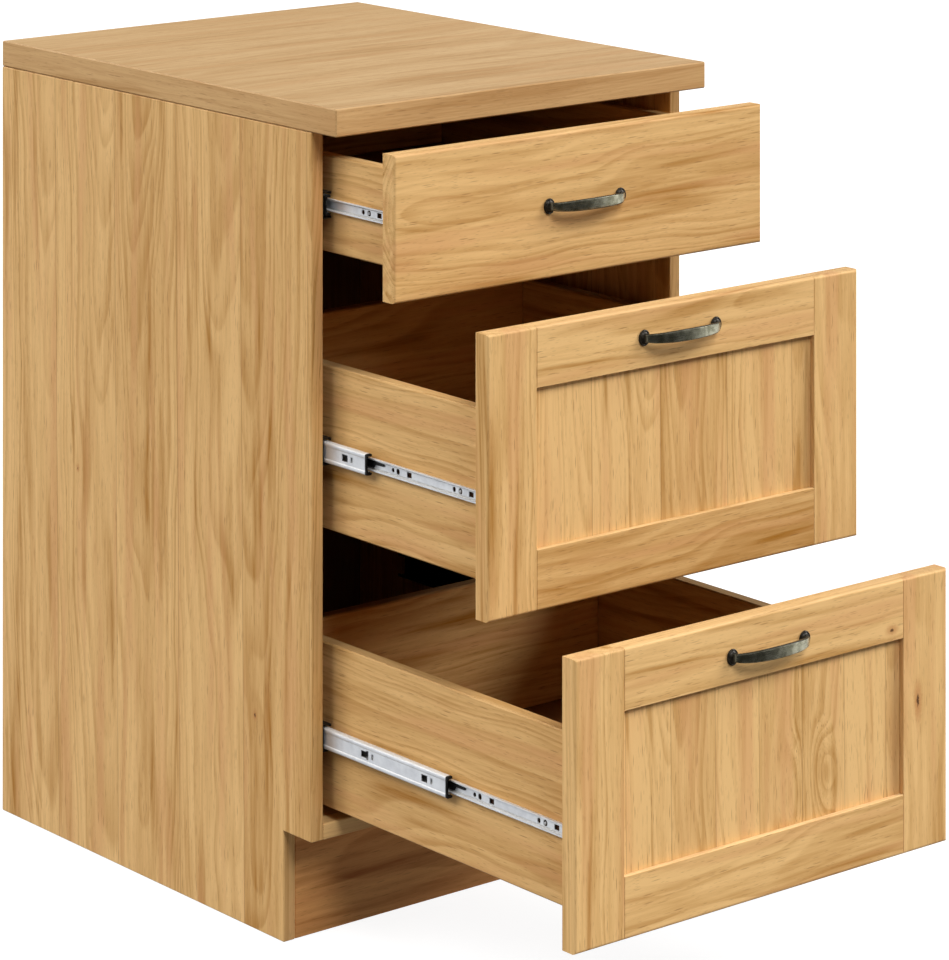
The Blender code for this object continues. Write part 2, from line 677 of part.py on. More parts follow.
# ---------------------------------------------------------------- assembly
def make_drawer(drawer):
    """One drawer, its slides, its front and its handle."""
    make_outer_rails(drawer)
    middle = joint_empty(f"drawer_{drawer.number}_middle_axis",
                         (0.0, CARCASS_FRONT_Y - drawer.middle_draw, drawer.slide_z))
    moving = joint_empty(f"drawer_{drawer.number}_axis",
                         (0.0, drawer.back_of_front, drawer.slide_z), middle)
    make_middle_rails(drawer, middle)
    make_inner_rails(drawer, moving)
    make_release_levers(drawer, moving)
    make_drawer_box(drawer, moving)
    if drawer.framed:
        make_framed_front(drawer, moving)
    else:
        make_slab_front(drawer, moving)
    make_handle(drawer, moving)


def main():
    """Empty the scene and build the cabinet."""
    for item in list(bpy.data.objects):
        bpy.data.objects.remove(item, do_unlink=True)
    make_carcass()
    for drawer in DRAWERS:
        make_drawer(drawer)


main()
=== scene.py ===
"""The look of a base cabinet whose three drawers stand open in steps.

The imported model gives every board, rail and handle its place. This script gives the boards
their timber, builds the pieces that need finer shapes than the model has, and sets up the
studio.
"""

from __future__ import annotations

import logging
import math
from dataclasses import dataclass, field, replace
from enum import Enum

import bmesh
import bpy
import numpy as np
from mathutils import Matrix, Vector


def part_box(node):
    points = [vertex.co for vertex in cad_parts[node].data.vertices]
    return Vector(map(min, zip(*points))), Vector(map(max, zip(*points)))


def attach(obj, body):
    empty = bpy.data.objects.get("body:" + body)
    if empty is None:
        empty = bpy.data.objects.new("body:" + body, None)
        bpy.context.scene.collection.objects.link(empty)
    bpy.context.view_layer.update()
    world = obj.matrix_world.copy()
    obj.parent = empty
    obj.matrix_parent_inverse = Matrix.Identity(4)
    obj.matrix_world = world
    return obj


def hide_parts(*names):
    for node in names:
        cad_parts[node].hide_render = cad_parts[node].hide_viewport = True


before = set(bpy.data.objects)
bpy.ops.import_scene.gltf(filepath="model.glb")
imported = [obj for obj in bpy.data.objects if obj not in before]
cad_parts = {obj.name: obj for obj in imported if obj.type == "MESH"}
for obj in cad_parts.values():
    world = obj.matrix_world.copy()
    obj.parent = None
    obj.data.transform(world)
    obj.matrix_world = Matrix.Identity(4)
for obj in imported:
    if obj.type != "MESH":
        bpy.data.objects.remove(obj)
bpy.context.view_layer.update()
LOG = logging.getLogger("drawer_cabinet")

Colour = tuple[float, float, float, float]
Socket = bpy.types.NodeSocket
HALF = (0.5, 0.5, 0.5)
WHITE = (1.0, 1.0, 1.0, 1.0)


def tint(red: float, green: float, blue: float) -> Colour:
    """A colour as a screen shows it, turned into the linear colour that shaders take.

    Args:
        red, green, blue: how much of each it shows, out of 255.

    Returns:
        The colour, with an alpha of 1.
    """
    shares = np.array((red, green, blue)) / 255.0
    linear = np.where(shares <= 0.04045, shares / 12.92, ((shares + 0.055) / 1.055) ** 2.4)
    return (*linear.tolist(), 1.0)


def span(node: str) -> tuple[np.ndarray, np.ndarray]:
    """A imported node's lowest and highest corners."""
    low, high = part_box(node)
    return np.array(low), np.array(high)


def inner_wall(side: str) -> float:
    """Where the inner face of the left or right side panel stands, across the cabinet."""
    low, high = span(f"{side}_side_panel")
    return high[0] if side == "left" else low[0]


# ---------------------------------------------------------------- laying out shader nodes


class Bench:
    """Lays nodes in one tree and joins them, so that a formula reads from left to right."""

    def __init__(self, tree: bpy.types.NodeTree) -> None:
        """Starts on a tree that is already there."""
        self.tree = tree

    def feed(self, socket: Socket, source: object) -> None:
        """Joins another node's output to a socket, or sets the socket's plain value.

        Args:
            socket: the input to feed.
            source: an output, a plain value, or nothing, which leaves the input as it is.
        """
        if isinstance(source, bpy.types.NodeSocket):
            self.tree.links.new(source, socket)
        elif source is not None:
            socket.default_value = source

    def add(self, kind: str, *sources: object, **settings: object) -> bpy.types.Node:
        """Adds one node.

        Args:
            kind: the node's type name.
            sources: what feeds its inputs, in their order; None leaves one as it is.
            settings: the node's own properties.

        Returns:
            The new node.
        """
        node = self.tree.nodes.new(kind)
        for name, value in settings.items():
            setattr(node, name, value)
        for socket, source in zip(node.inputs, sources):
            self.feed(socket, source)
        return node

    def math(self, operation: str, *values: object) -> Socket:
        """One step of arithmetic on numbers."""
        return self.add("ShaderNodeMath", *values, operation=operation).outputs[0]

    def vector(self, operation: str, *values: object) -> Socket:
        """One step of arithmetic on vectors."""
        return self.add("ShaderNodeVectorMath", *values, operation=operation).outputs[0]

    def times(self, first: object, second: object) -> Socket:
        """Two numbers multiplied."""
        return self.math("MULTIPLY", first, second)

    def plus(self, first: object, second: object) -> Socket:
        """Two numbers added."""
        return self.math("ADD", first, second)

    def line(self, value: object, slope: object, start: object) -> Socket:
        """A number times a slope, plus a start."""
        return self.math("MULTIPLY_ADD", value, slope, start)

    def scale(self, vector: object, size: object) -> Socket:
        """A vector made longer by one number."""
        return self.vector("SCALE", vector, None, None, size)

    def stretch(self, vector: object, sizes: object) -> Socket:
        """A vector whose three parts are each multiplied by their own number."""
        return self.vector("MULTIPLY", vector, sizes)

    def length(self, vector: Socket) -> Socket:
        """How long a vector is."""
        return self.add("ShaderNodeVectorMath", vector, operation="LENGTH").outputs["Value"]

    def split(self, vector: Socket) -> tuple[Socket, Socket, Socket]:
        """The three parts of a vector."""
        return tuple(self.add("ShaderNodeSeparateXYZ", vector).outputs)

    def join(self, x: object, y: object, z: object) -> Socket:
        """A vector from its three parts."""
        return self.add("ShaderNodeCombineXYZ", x, y, z).outputs[0]

    def ramp(self, value: object, low: object, high: object,
             start: object = 0.0, end: object = 1.0) -> Socket:
        """Eases from start to end as value goes from low to high, and holds outside."""
        return self.add("ShaderNodeMapRange", value, low, high, start, end,
                        interpolation_type="SMOOTHSTEP").outputs[0]

    def fall(self, value: object, low: object, high: object) -> Socket:
        """Eases from 1 down to 0 as value goes from low to high."""
        return self.ramp(value, low, high, 1.0, 0.0)

    def blend(self, share: object, first: object, second: object, how: str = "MIX",
              held: bool = True) -> Socket:
        """Blends two colours.

        Args:
            share: how much of the second colour there is.
            first, second: the colours.
            how: the way of blending.
            held: whether the share is held from 0 to 1, or may run past them.

        Returns:
            The blended colour.
        """
        node = self.add("ShaderNodeMix", data_type="RGBA", blend_type=how, clamp_factor=held)
        for place, source in ((0, share), (6, first), (7, second)):
            self.feed(node.inputs[place], source)
        return node.outputs[2]

    def noise(self, vector: Socket, detail: float = 2.0, roughness: float = 0.5) -> bpy.types.Node:
        """Soft noise whose lumps are one unit apart in the vector given."""
        return self.add("ShaderNodeTexNoise", vector, None, 1.0, detail, roughness)

    def swing(self, vector: Socket, detail: float = 2.0, roughness: float = 0.5) -> Socket:
        """Soft noise that runs either side of nothing, from about -1 to 1."""
        return self.line(self.noise(vector, detail, roughness).outputs[0], 4.0, -2.0)

    def place(self, group: bpy.types.NodeTree, **values: object) -> dict[str, Socket]:
        """Puts a group in the tree.

        Args:
            group: the group's own tree.
            values: what feeds its inputs, by name.

        Returns:
            Its outputs by name.
        """
        node = self.tree.nodes.new("ShaderNodeGroup")
        node.node_tree = group
        for name, source in values.items():
            self.feed(node.inputs[name], source)
        return {socket.name: socket for socket in node.outputs}


class Kind(Enum):
    """What a group's socket carries."""

    NUMBER = "NodeSocketFloat"
    VECTOR = "NodeSocketVector"
    COLOUR = "NodeSocketColor"


class Recipe:
    """A shader node group with named inputs and outputs, made once and used by many finishes."""

    def __init__(self, name: str, takes: dict[Kind, str], gives: dict[Kind, str]) -> None:
        """Makes the empty group.

        Args:
            name: the group's name.
            takes: the names of its inputs of each kind, with spaces between them.
            gives: the same for its outputs.
        """
        self.tree = bpy.data.node_groups.new(name, "ShaderNodeTree")
        for way, kinds in (("INPUT", takes), ("OUTPUT", gives)):
            for kind, labels in kinds.items():
                for label in labels.split():
                    self.tree.interface.new_socket(label, in_out=way, socket_type=kind.value)
        self.bench = Bench(self.tree)
        self.taken = self.tree.nodes.new("NodeGroupInput").outputs
        self.given = self.tree.nodes.new("NodeGroupOutput").inputs

    def give(self, **values: Socket) -> bpy.types.NodeTree:
        """Joins the outputs up.

        Args:
            values: each output's name and what feeds it.

        Returns:
            The finished group.
        """
        for name, source in values.items():
            self.bench.feed(self.given[name], source)
        return self.tree


# ---------------------------------------------------------------- the timber's own effects


class TimberEffects:
    """The node groups that every board's finish is put together from.

    They all read a board's own place in metres: x runs across its face, y through its
    thickness and z along its grain, measured from the heart of the log. The words name what a
    finish takes from its wood. Each scale says how many lumps a metre holds each way.
    """

    TINTS = "Light Dark Warm Pore"
    GRAIN = "Ring Waver Figure Streaks Fibre Pores"
    BEND = (9.0, 9.0, 2.6)
    BROAD = (26.0, 26.0, 1.5)
    BLUSH = (45.0, 45.0, 3.0)
    BROWN = (62.0, 62.0, 3.4)
    STREAK = (160.0, 160.0, 6.0)
    FIBRE = (700.0, 700.0, 24.0)
    RAGGED = 420.0

    def __init__(self) -> None:
        """Makes the groups in the order in which they use each other."""
        self.staves = self._staves()
        self.knot = self._knot()
        self.swell = self._swell()
        self.rings = self._rings()
        self.pores = self._pores()
        self.timber = self._timber()

    def _staves(self) -> bpy.types.NodeTree:
        """Strips glued edge to edge: each takes its own piece of log, and a tone of its own.

        Returns:
            The group, with the place in each strip's own log, its tone from -1 to 1, and the
            mask of the seams.
        """
        made = Recipe("glued_staves", {Kind.VECTOR: "Place", Kind.NUMBER: "Width Shift"},
                      {Kind.VECTOR: "Place", Kind.NUMBER: "Tone Seam"})
        b, t = made.bench, made.taken
        x, y, z = b.split(t["Place"])
        steps = b.math("DIVIDE", b.plus(x, t["Shift"]), t["Width"])
        stave = b.math("FLOOR", steps)
        chance = b.add("ShaderNodeTexWhiteNoise", None, stave, noise_dimensions="1D").outputs
        own = b.times(b.math("SUBTRACT", b.math("FRACT", steps), 0.5), t["Width"])
        apart = b.vector("SUBTRACT", chance["Color"], (0.5, 0.35, 0.5))
        spread = b.stretch(apart, (0.10, 0.06, 3.0))
        place = b.vector("ADD", b.join(own, y, z), spread)
        edge = b.times(b.math("PINGPONG", steps, 0.5), t["Width"])
        seam = b.fall(edge, 0.0002, 0.0009)
        tone = b.line(chance["Value"], 2.0, -1.0)
        return made.give(Place=place, Tone=tone, Seam=seam)

    def _knot(self) -> bpy.types.NodeTree:
        """A small knot: the grain bends round it, and it has a dark core in a redder ring.

        Returns:
            The group, with the bent place, and the masks of the core and of the ring round it.
        """
        made = Recipe("small_knot", {Kind.VECTOR: "Place Middle", Kind.NUMBER: "Size Along"},
                      {Kind.VECTOR: "Place", Kind.NUMBER: "Core Ring"})
        b, t = made.bench, made.taken
        off = b.vector("SUBTRACT", t["Place"], t["Middle"])
        cloud = b.noise(b.scale(t["Place"], self.RAGGED)).outputs[1]
        ragged = b.scale(b.vector("SUBTRACT", cloud, HALF), 0.004)
        rough = b.vector("ADD", off, ragged)
        x, _y, z = b.split(b.vector("DIVIDE", rough, b.join(t["Size"], 1.0, t["Size"])))
        near = b.length(b.join(x, 0.0, b.times(z, t["Along"])))
        pull = b.ramp(b.length(b.join(x, 0.0, b.times(z, 0.28))), 0.0, 4.5, 0.85, 0.0)
        ox, _oy, _oz = b.split(off)
        moved = b.vector("SUBTRACT", t["Place"], b.join(b.times(ox, pull), 0.0, 0.0))
        return made.give(Place=moved, Core=b.fall(near, 0.25, 0.75), Ring=b.fall(near, 0.5, 2.6))

    def _swell(self) -> bpy.types.NodeTree:
        """A swelling in the log, where the rings rise through the board's face and show as ovals.

        Returns:
            The group, with the place moved to where the rings rise.
        """
        made = Recipe("grain_swell", {Kind.VECTOR: "Place Middle Reach", Kind.NUMBER: "Rise"},
                      {Kind.VECTOR: "Place"})
        b, t = made.bench, made.taken
        x, _y, z = b.split(b.vector("DIVIDE", b.vector("SUBTRACT", t["Place"], t["Middle"]), t["Reach"]))
        rise = b.times(b.fall(b.length(b.join(x, 0.0, z)), 0.0, 1.0), t["Rise"])
        return made.give(Place=b.vector("ADD", t["Place"], b.join(0.0, rise, 0.0)))

    def _rings(self) -> bpy.types.NodeTree:
        """Growth rings: the distance from the heart, wavered along the trunk, counted off in years.

        Returns:
            The group, with how strong the dark late wood is.
        """
        made = Recipe("growth_rings", {Kind.VECTOR: "Place", Kind.NUMBER: "Ring Waver"},
                      {Kind.NUMBER: "Late"})
        b, t = made.bench, made.taken
        slow = b.noise(b.stretch(t["Place"], self.BEND), 2.0, 0.45).outputs[1]
        bend = b.vector("SUBTRACT", slow, HALF)
        moved = b.vector("ADD", t["Place"], b.scale(bend, b.times(t["Waver"], 4.0)))
        x, y, _z = b.split(moved)
        radius = b.length(b.join(x, y, 0.0))
        year = b.math("DIVIDE", radius, t["Ring"])
        uneven = b.swing(b.join(b.times(radius, 60.0), 0.0, 0.0), 1.0)
        count = b.plus(year, b.times(uneven, 0.9))
        phase = b.math("FRACT", count)
        dark = b.times(b.ramp(phase, 0.15, 0.86), b.fall(phase, 0.86, 1.0))
        chance = b.add("ShaderNodeTexWhiteNoise", None, b.math("FLOOR", count), noise_dimensions="1D")
        strength = b.line(chance.outputs["Value"], 0.75, 0.25)
        return made.give(Late=b.times(dark, strength))

    def _pores(self) -> bpy.types.NodeTree:
        """Open pores: long thin cells scattered along the grain, some of them dark.

        Returns:
            The group, with the mask of the pores.
        """
        made = Recipe("open_pores", {Kind.VECTOR: "Place", Kind.NUMBER: "Width Length Share"},
                      {Kind.NUMBER: "Mask"})
        b, t = made.bench, made.taken
        cells = b.vector("DIVIDE", t["Place"], b.join(t["Width"], t["Width"], t["Length"]))
        found = b.add("ShaderNodeTexVoronoi", cells, None, 1.0)
        core = b.fall(found.outputs["Distance"], 0.12, 0.36)
        chance, depth, _blue = b.split(found.outputs["Color"])
        there = b.math("LESS_THAN", chance, t["Share"])
        strength = b.times(there, b.line(depth, 0.7, 0.3))
        return made.give(Mask=b.times(core, strength))

    def _timber(self) -> bpy.types.NodeTree:
        """The whole board: rings, broad streaks, fine fibre and pores between a light and a dark wood.

        Returns:
            The group, with the colour, the roughness and the relief's height.
        """
        made = Recipe("oiled_timber", {Kind.VECTOR: "Place", Kind.COLOUR: self.TINTS,
                                       Kind.NUMBER: f"{self.GRAIN} Tone"},
                      {Kind.COLOUR: "Colour", Kind.NUMBER: "Roughness Height"})
        b, t = made.bench, made.taken
        place = t["Place"]
        rings = b.place(self.rings, Place=place, Ring=t["Ring"], Waver=t["Waver"])
        broad = b.swing(b.stretch(place, self.BROAD))
        streak = b.swing(b.stretch(place, self.STREAK), 2.0, 0.55)
        fibre = b.swing(b.stretch(place, self.FIBRE), 2.0, 0.6)
        blush = b.noise(b.stretch(place, self.BLUSH)).outputs[0]
        elsewhere = b.vector("ADD", place, (0.7, 0.2, 1.9))
        brown = b.noise(b.stretch(elsewhere, self.BROWN)).outputs[0]
        wide = b.place(self.pores, Place=place, Width=0.0019, Length=0.026, Share=0.34)["Mask"]
        fine = b.place(self.pores, Place=b.vector("ADD", place, (0.37, 0.11, 0.53)),
                       Width=0.0011, Length=0.011, Share=0.42)["Mask"]
        amount = b.times(rings["Late"], t["Figure"])
        soft = b.line(b.ramp(brown, 0.52, 0.72), 0.75, b.times(broad, 0.40))
        bands = b.times(b.line(streak, 0.24, soft), t["Streaks"])
        lines = b.times(fibre, b.times(t["Fibre"], 0.21))
        marks = b.plus(b.plus(0.18, amount), b.plus(bands, lines))
        share = b.add("ShaderNodeClamp", b.plus(marks, t["Tone"]), 0.0, 1.6).outputs[0]
        bare = b.blend(share, t["Light"], t["Dark"], held=False)
        wood = b.blend(b.times(b.ramp(blush, 0.48, 0.70), 0.55), bare, t["Warm"])
        pore = b.times(b.math("MAXIMUM", wide, b.times(fine, 0.7)), t["Pores"])
        colour = b.blend(pore, wood, t["Pore"])
        rough = b.line(pore, 0.2, b.line(fibre, 0.03, 0.46))
        height = b.math("SUBTRACT", b.times(fibre, 0.06), b.times(pore, 1.0))
        return made.give(Colour=colour, Roughness=rough, Height=height)


# ---------------------------------------------------------------- finishes


class Lie(Enum):
    """How a board lies: the axis that its grain follows, then the axis that its face looks along."""

    SIDE_UPRIGHT = ("z", "x")
    SIDE_LEVEL = ("y", "x")
    FRONT_UPRIGHT = ("z", "y")
    FRONT_LEVEL = ("x", "y")
    FLAT_ACROSS = ("x", "z")
    FLAT_DEEP = ("y", "z")

    def turn(self) -> np.ndarray:
        """The turn from the cabinet's axes to across, through and along the board.

        Returns:
            Three rows, one for each of the board's own axes.
        """
        axes = {"x": (1.0, 0.0, 0.0), "y": (0.0, 1.0, 0.0), "z": (0.0, 0.0, 1.0)}
        along, through = (np.array(axes[name]) for name in self.value)
        return np.stack([np.cross(through, along), through, along])


@dataclass(frozen=True)
class Wood:
    """One kind of timber under its oil.

    Args:
        light: the early wood's colour.
        dark: the late wood's colour.
        warm: the redder colour of its broad streaks.
        pore: the colour inside an open pore.
        ring: the usual width of a year's growth, in metres.
        waver: how far the rings stray, in metres.
        figure, streaks, fibre, pores: how strongly each of them shows.
        relief: how deep the pores are, in metres.
        halo, core: the colours round a knot and in it.
        gloss: how strongly the oil reflects; 0.5 is usual.
    """

    light: Colour
    dark: Colour
    warm: Colour
    pore: Colour
    ring: float = 0.0052
    waver: float = 0.010
    figure: float = 0.50
    streaks: float = 0.8
    fibre: float = 0.75
    pores: float = 0.55
    relief: float = 0.00006
    halo: Colour = tint(176, 112, 62)
    core: Colour = tint(74, 46, 26)
    gloss: float = 0.12


PINE = Wood(light=tint(226, 184, 124), dark=tint(184, 137, 77), warm=tint(209, 156, 104),
            pore=tint(126, 82, 40))
OAK = Wood(light=tint(203, 164, 114), dark=tint(168, 124, 74), warm=tint(186, 140, 90),
           pore=tint(122, 84, 44), ring=0.0042, figure=0.2, streaks=0.55, fibre=1.1, pores=0.5, gloss=0.08)
# Pine made redder and darker as painted shade with a warm painted bounce, for the plinth under the
# drawers.
PINE_PAINTED_WARM_SHADE = replace(PINE, light=tint(220, 160, 98), dark=tint(176, 114, 60), warm=tint(196, 130, 78))
PLY = Wood(light=tint(158, 120, 78), dark=tint(120, 84, 48), warm=tint(140, 98, 60),
           pore=tint(90, 60, 34), ring=0.009, figure=0.2, streaks=0.5, pores=0.3)

# Painted light on a board's upper edge or face, whose colour is multiplied by it: painted shade,
# darkest on a box's and the sides' tops, then on the fronts' tops; a painted highlight on the
# ledge inside each frame; and painted shade that greys the worktop's top.
DARKEST_TOP_PAINTED_SHADE = (0.73, 0.73, 0.75, 1.0)
SHADE = (0.86, 0.87, 0.92, 1.0)
LEDGE_PAINTED_HIGHLIGHT = (1.12, 1.25, 1.50, 1.0)
WORKTOP_TOP_PAINTED_SHADE = (0.80, 0.865, 0.99, 1.0)


@dataclass(frozen=True)
class Metal:
    """A metal or plastic surface.

    Args:
        light, dark: the two colours that its patches drift between.
        edge: the colour painted on faces that look up, down or sideways: painted reflection and shade.
        brush: how close its brush lines are along x, y and z, in lines a metre.
        mottle: how close its patches are, in patches a metre.
        edges: how strongly the painted edge colour shows on faces that look up or down.
        ends: the same on faces that look sideways.
        metallic: 1 for metal and 0 for plastic.
        roughness, rough_swing: the usual roughness and how far the lines change it.
        relief: how deep the lines are, in metres.
        gloss: how strongly a plastic reflects; 0.5 is usual.
    """

    light: Colour
    dark: Colour
    edge: Colour
    brush: tuple[float, float, float]
    mottle: float = 60.0
    edges: float = 0.0
    ends: float = 0.0
    metallic: float = 1.0
    roughness: float = 0.32
    rough_swing: float = 0.05
    relief: float = 0.000002
    gloss: float = 0.5


# A metal's edge colour is painted light on faces that look up, down or sideways: a dark painted reflection
# on the bronze strap's and the feet's edges, and on the zinc a painted shade that keeps its bands from
# reading too white.
ZINC = Metal(light=tint(210, 213, 217), dark=tint(192, 195, 200), edge=tint(210, 208, 204),
             brush=(700.0, 12.0, 1400.0), edges=0.8, metallic=0.5, roughness=0.36)
# Zinc darkened to painted shade, for the outer rails, which sit in the shade of the cabinet's sides.
ZINC_PAINTED_SHADE = replace(ZINC, light=tint(46, 38, 30), dark=tint(34, 28, 22), edge=tint(40, 33, 26),
                    metallic=0.3, roughness=0.5, gloss=0.2)
BRONZE = Metal(light=tint(188, 186, 164), dark=tint(132, 130, 108), edge=tint(26, 22, 16),
               brush=(30.0, 30.0, 1600.0), mottle=140.0, edges=0.95, ends=0.95, roughness=0.27, gloss=0.1)
PATINA = Metal(light=tint(70, 64, 54), dark=tint(34, 30, 24), edge=tint(24, 20, 16),
               brush=(300.0, 300.0, 300.0), mottle=260.0, edges=0.6, ends=0.6, metallic=0.6,
               roughness=0.4, rough_swing=0.06, gloss=0.2)
# Painted shade: the brown of a strip that stands for the shade seen through the inner rail's windows.
PAINTED_SHADE_STRIP_BROWN = Metal(light=tint(70, 42, 24), dark=tint(48, 28, 16), edge=tint(70, 42, 24),
             brush=(2500.0, 2500.0, 2500.0), mottle=900.0, metallic=0.0, roughness=0.9, gloss=0.2)
BLACK_PLASTIC = Metal(light=tint(11, 11, 12), dark=tint(7, 7, 8), edge=tint(12, 12, 13),
                      brush=(2500.0, 2500.0, 2500.0), mottle=300.0, metallic=0.0, roughness=0.6, gloss=0.2)
METALS = {"zinc_steel": ZINC, "zinc_painted_shade": ZINC_PAINTED_SHADE, "burnished_bronze": BRONZE,
          "bronze_patina": PATINA, "brown_painted_shade_strip": PAINTED_SHADE_STRIP_BROWN, "black_plastic": BLACK_PLASTIC}


@dataclass(frozen=True)
class Knot:
    """A small knot on a board.

    Args:
        middle: its place in the cabinet's frame, in metres.
        size: its half width, in metres.
        along: its width as a share of its length.
    """

    middle: tuple[float, float, float]
    size: float
    along: float = 0.62


@dataclass(frozen=True)
class Swell:
    """A swelling in the log that shows as ovals on a board's face.

    Args:
        middle: its place in the cabinet's frame.
        reach: how far it reaches across and along the grain, in metres.
        rise: how far it lifts the rings, in metres.
    """

    middle: tuple[float, float, float]
    reach: tuple[float, float]
    rise: float


@dataclass(frozen=True)
class Cut:
    """How one board was cut from its log.

    Args:
        lie: which way its grain and face run.
        heart: how far the log's heart is from the board's middle, across and through it.
        slant: how far the heart leans from the grain, in degrees, across and through it.
        tone: how much darker the whole board is; a minus makes it lighter.
        staves: the width of its glued strips in metres, or nothing for one plank.
        shift: where the first strip starts.
        stave_tone: how far the strips differ from each other.
        knots: its knots.
        swells: its swellings.
        banded: whether its left and right ends wear edging whose grain runs from front to back.
        face: the painted shade or painted highlight that its upper edge's or face's colour is multiplied
            by, if anything.
    """

    lie: Lie
    heart: tuple[float, float] = (0.02, 0.09)
    slant: tuple[float, float] = (0.6, 2.0)
    tone: float = 0.0
    staves: float = 0.0
    shift: float = 0.0
    stave_tone: float = 0.16
    knots: tuple[Knot, ...] = ()
    swells: tuple[Swell, ...] = ()
    banded: bool = False
    face: Colour | None = None


class Finisher:
    """Makes the materials and puts them on the pieces.

    The pairs below are the cosines between which a face comes to count as looking up, to an
    end, level and sideways. Looking up sets where a board's painted shade or painted highlight
    falls; level and sideways set where a metal's painted edge colour falls.
    """

    UPPER = (0.6, 0.8)
    ENDS = (0.68, 0.74)
    LEVEL = (0.15, 0.55)
    SIDEWAYS = (0.80, 0.95)

    def __init__(self) -> None:
        """Gets the shared effects ready."""
        self.effects = TimberEffects()
        self.worked = self._worked_surface()
        self.made: dict[str, bpy.types.Material] = {}

    def _worked_surface(self) -> bpy.types.NodeTree:
        """Brush lines and cloudy patches on metal or plastic; lines run where the scale is low.

        Returns:
            The group, with the lines, from about -1 to 1, and the mask of the patches.
        """
        made = Recipe("worked_surface", {Kind.VECTOR: "Place Across", Kind.NUMBER: "Mottle"},
                      {Kind.NUMBER: "Lines Cloud"})
        b, t = made.bench, made.taken
        lines = b.swing(b.stretch(t["Place"], t["Across"]), 3.0, 0.6)
        cloud = b.noise(b.scale(t["Place"], t["Mottle"]), 3.0, 0.55).outputs[0]
        both = b.line(lines, 0.14, b.ramp(cloud, 0.3, 0.7))
        return made.give(Lines=lines, Cloud=b.add("ShaderNodeClamp", both, 0.0, 1.0).outputs[0])

    def _start(self, name: str) -> tuple[bpy.types.Material, Bench, bpy.types.Node]:
        """Starts a material with one plain shader.

        Args:
            name: the material's name.

        Returns:
            The material, its bench and its shader.
        """
        material = bpy.data.materials.new(name)
        material.use_nodes = True
        bench = Bench(material.node_tree)
        return material, bench, material.node_tree.nodes["Principled BSDF"]

    def _finish(self, bench: Bench, shader: bpy.types.Node, height: Socket, depth: float, gloss: float,
                rough: Socket, colour: Socket) -> None:
        """Joins a finish to its shader.

        Args:
            bench: where the nodes go.
            shader: the material's shader.
            height: the height of its relief, as a share of its depth.
            depth: how deep the relief is, in metres.
            gloss: how strongly it reflects.
            rough: its roughness.
            colour: its colour.
        """
        bench.feed(shader.inputs["Base Color"], colour)
        bench.feed(shader.inputs["Roughness"], rough)
        shader.inputs["Specular IOR Level"].default_value = gloss
        bump = bench.add("ShaderNodeBump")
        bump.inputs["Strength"].default_value = 1.0
        bump.inputs["Distance"].default_value = depth
        bench.feed(bump.inputs["Height"], height)
        bench.feed(shader.inputs["Normal"], bump.outputs[0])

    def _turned(self, bench: Bench, cut: Cut, lie: Lie,
                middle: np.ndarray) -> tuple[Socket, np.ndarray, np.ndarray]:
        """The place in a log of boards that lie one way.

        Args:
            bench: where the nodes go.
            cut: how the board was cut.
            lie: which way its grain and face run.
            middle: the board's middle in the cabinet's frame.

        Returns:
            The place, turned to the grain, leaned by the slant and measured from the heart; and
            the turn and the shift that take a point of the cabinet there.
        """
        lean_x, lean_y = (math.radians(angle) for angle in cut.slant)
        turn = np.array(Matrix.Rotation(lean_x, 3, "Y") @ Matrix.Rotation(lean_y, 3, "X")) @ lie.turn()
        shift = np.array((*cut.heart, 0.0)) - turn @ middle
        where = bench.add("ShaderNodeTexCoord").outputs["Object"]
        node = bench.add("ShaderNodeMapping", where, vector_type="POINT")
        node.inputs["Location"].default_value = shift.tolist()
        node.inputs["Rotation"].default_value = Matrix(turn.tolist()).to_euler("XYZ")
        return node.outputs[0], turn, shift

    def _board_place(self, bench: Bench, cut: Cut, middle: np.ndarray) -> tuple[Socket, Socket, Socket]:
        """A board's own place, with the grain bent round its knots.

        Args:
            bench: where the nodes go.
            cut: how the board was cut.
            middle: the board's middle in the cabinet's frame.

        Returns:
            The place, and the masks of the knots' cores and of the rings round them, or two
            nothings where there are no knots.
        """
        place, turn, shift = self._turned(bench, cut, cut.lie, middle)
        if cut.banded:
            wrapped, _turn, _shift = self._turned(bench, cut, Lie.SIDE_LEVEL, middle)
            across, _y, _z = bench.split(bench.add("ShaderNodeNewGeometry").outputs["Normal"])
            ends = bench.ramp(bench.math("ABSOLUTE", across), *self.ENDS)
            mixed = bench.add("ShaderNodeMix", data_type="VECTOR")
            for index, source in ((0, ends), (4, place), (5, wrapped)):
                bench.feed(mixed.inputs[index], source)
            place = mixed.outputs[1]
        for swell in cut.swells:
            spot = (turn @ np.array(swell.middle) + shift).tolist()
            place = bench.place(self.effects.swell, Place=place, Middle=spot,
                                Reach=(swell.reach[0], 1.0, swell.reach[1]), Rise=swell.rise)["Place"]
        core = halo = None
        for knot in cut.knots:
            spot = (turn @ np.array(knot.middle) + shift).tolist()
            near = bench.place(self.effects.knot, Place=place, Middle=spot, Size=knot.size,
                               Along=knot.along)
            place = near["Place"]
            core = near["Core"] if core is None else bench.math("MAXIMUM", core, near["Core"])
            halo = near["Ring"] if halo is None else bench.math("MAXIMUM", halo, near["Ring"])
        return place, core, halo

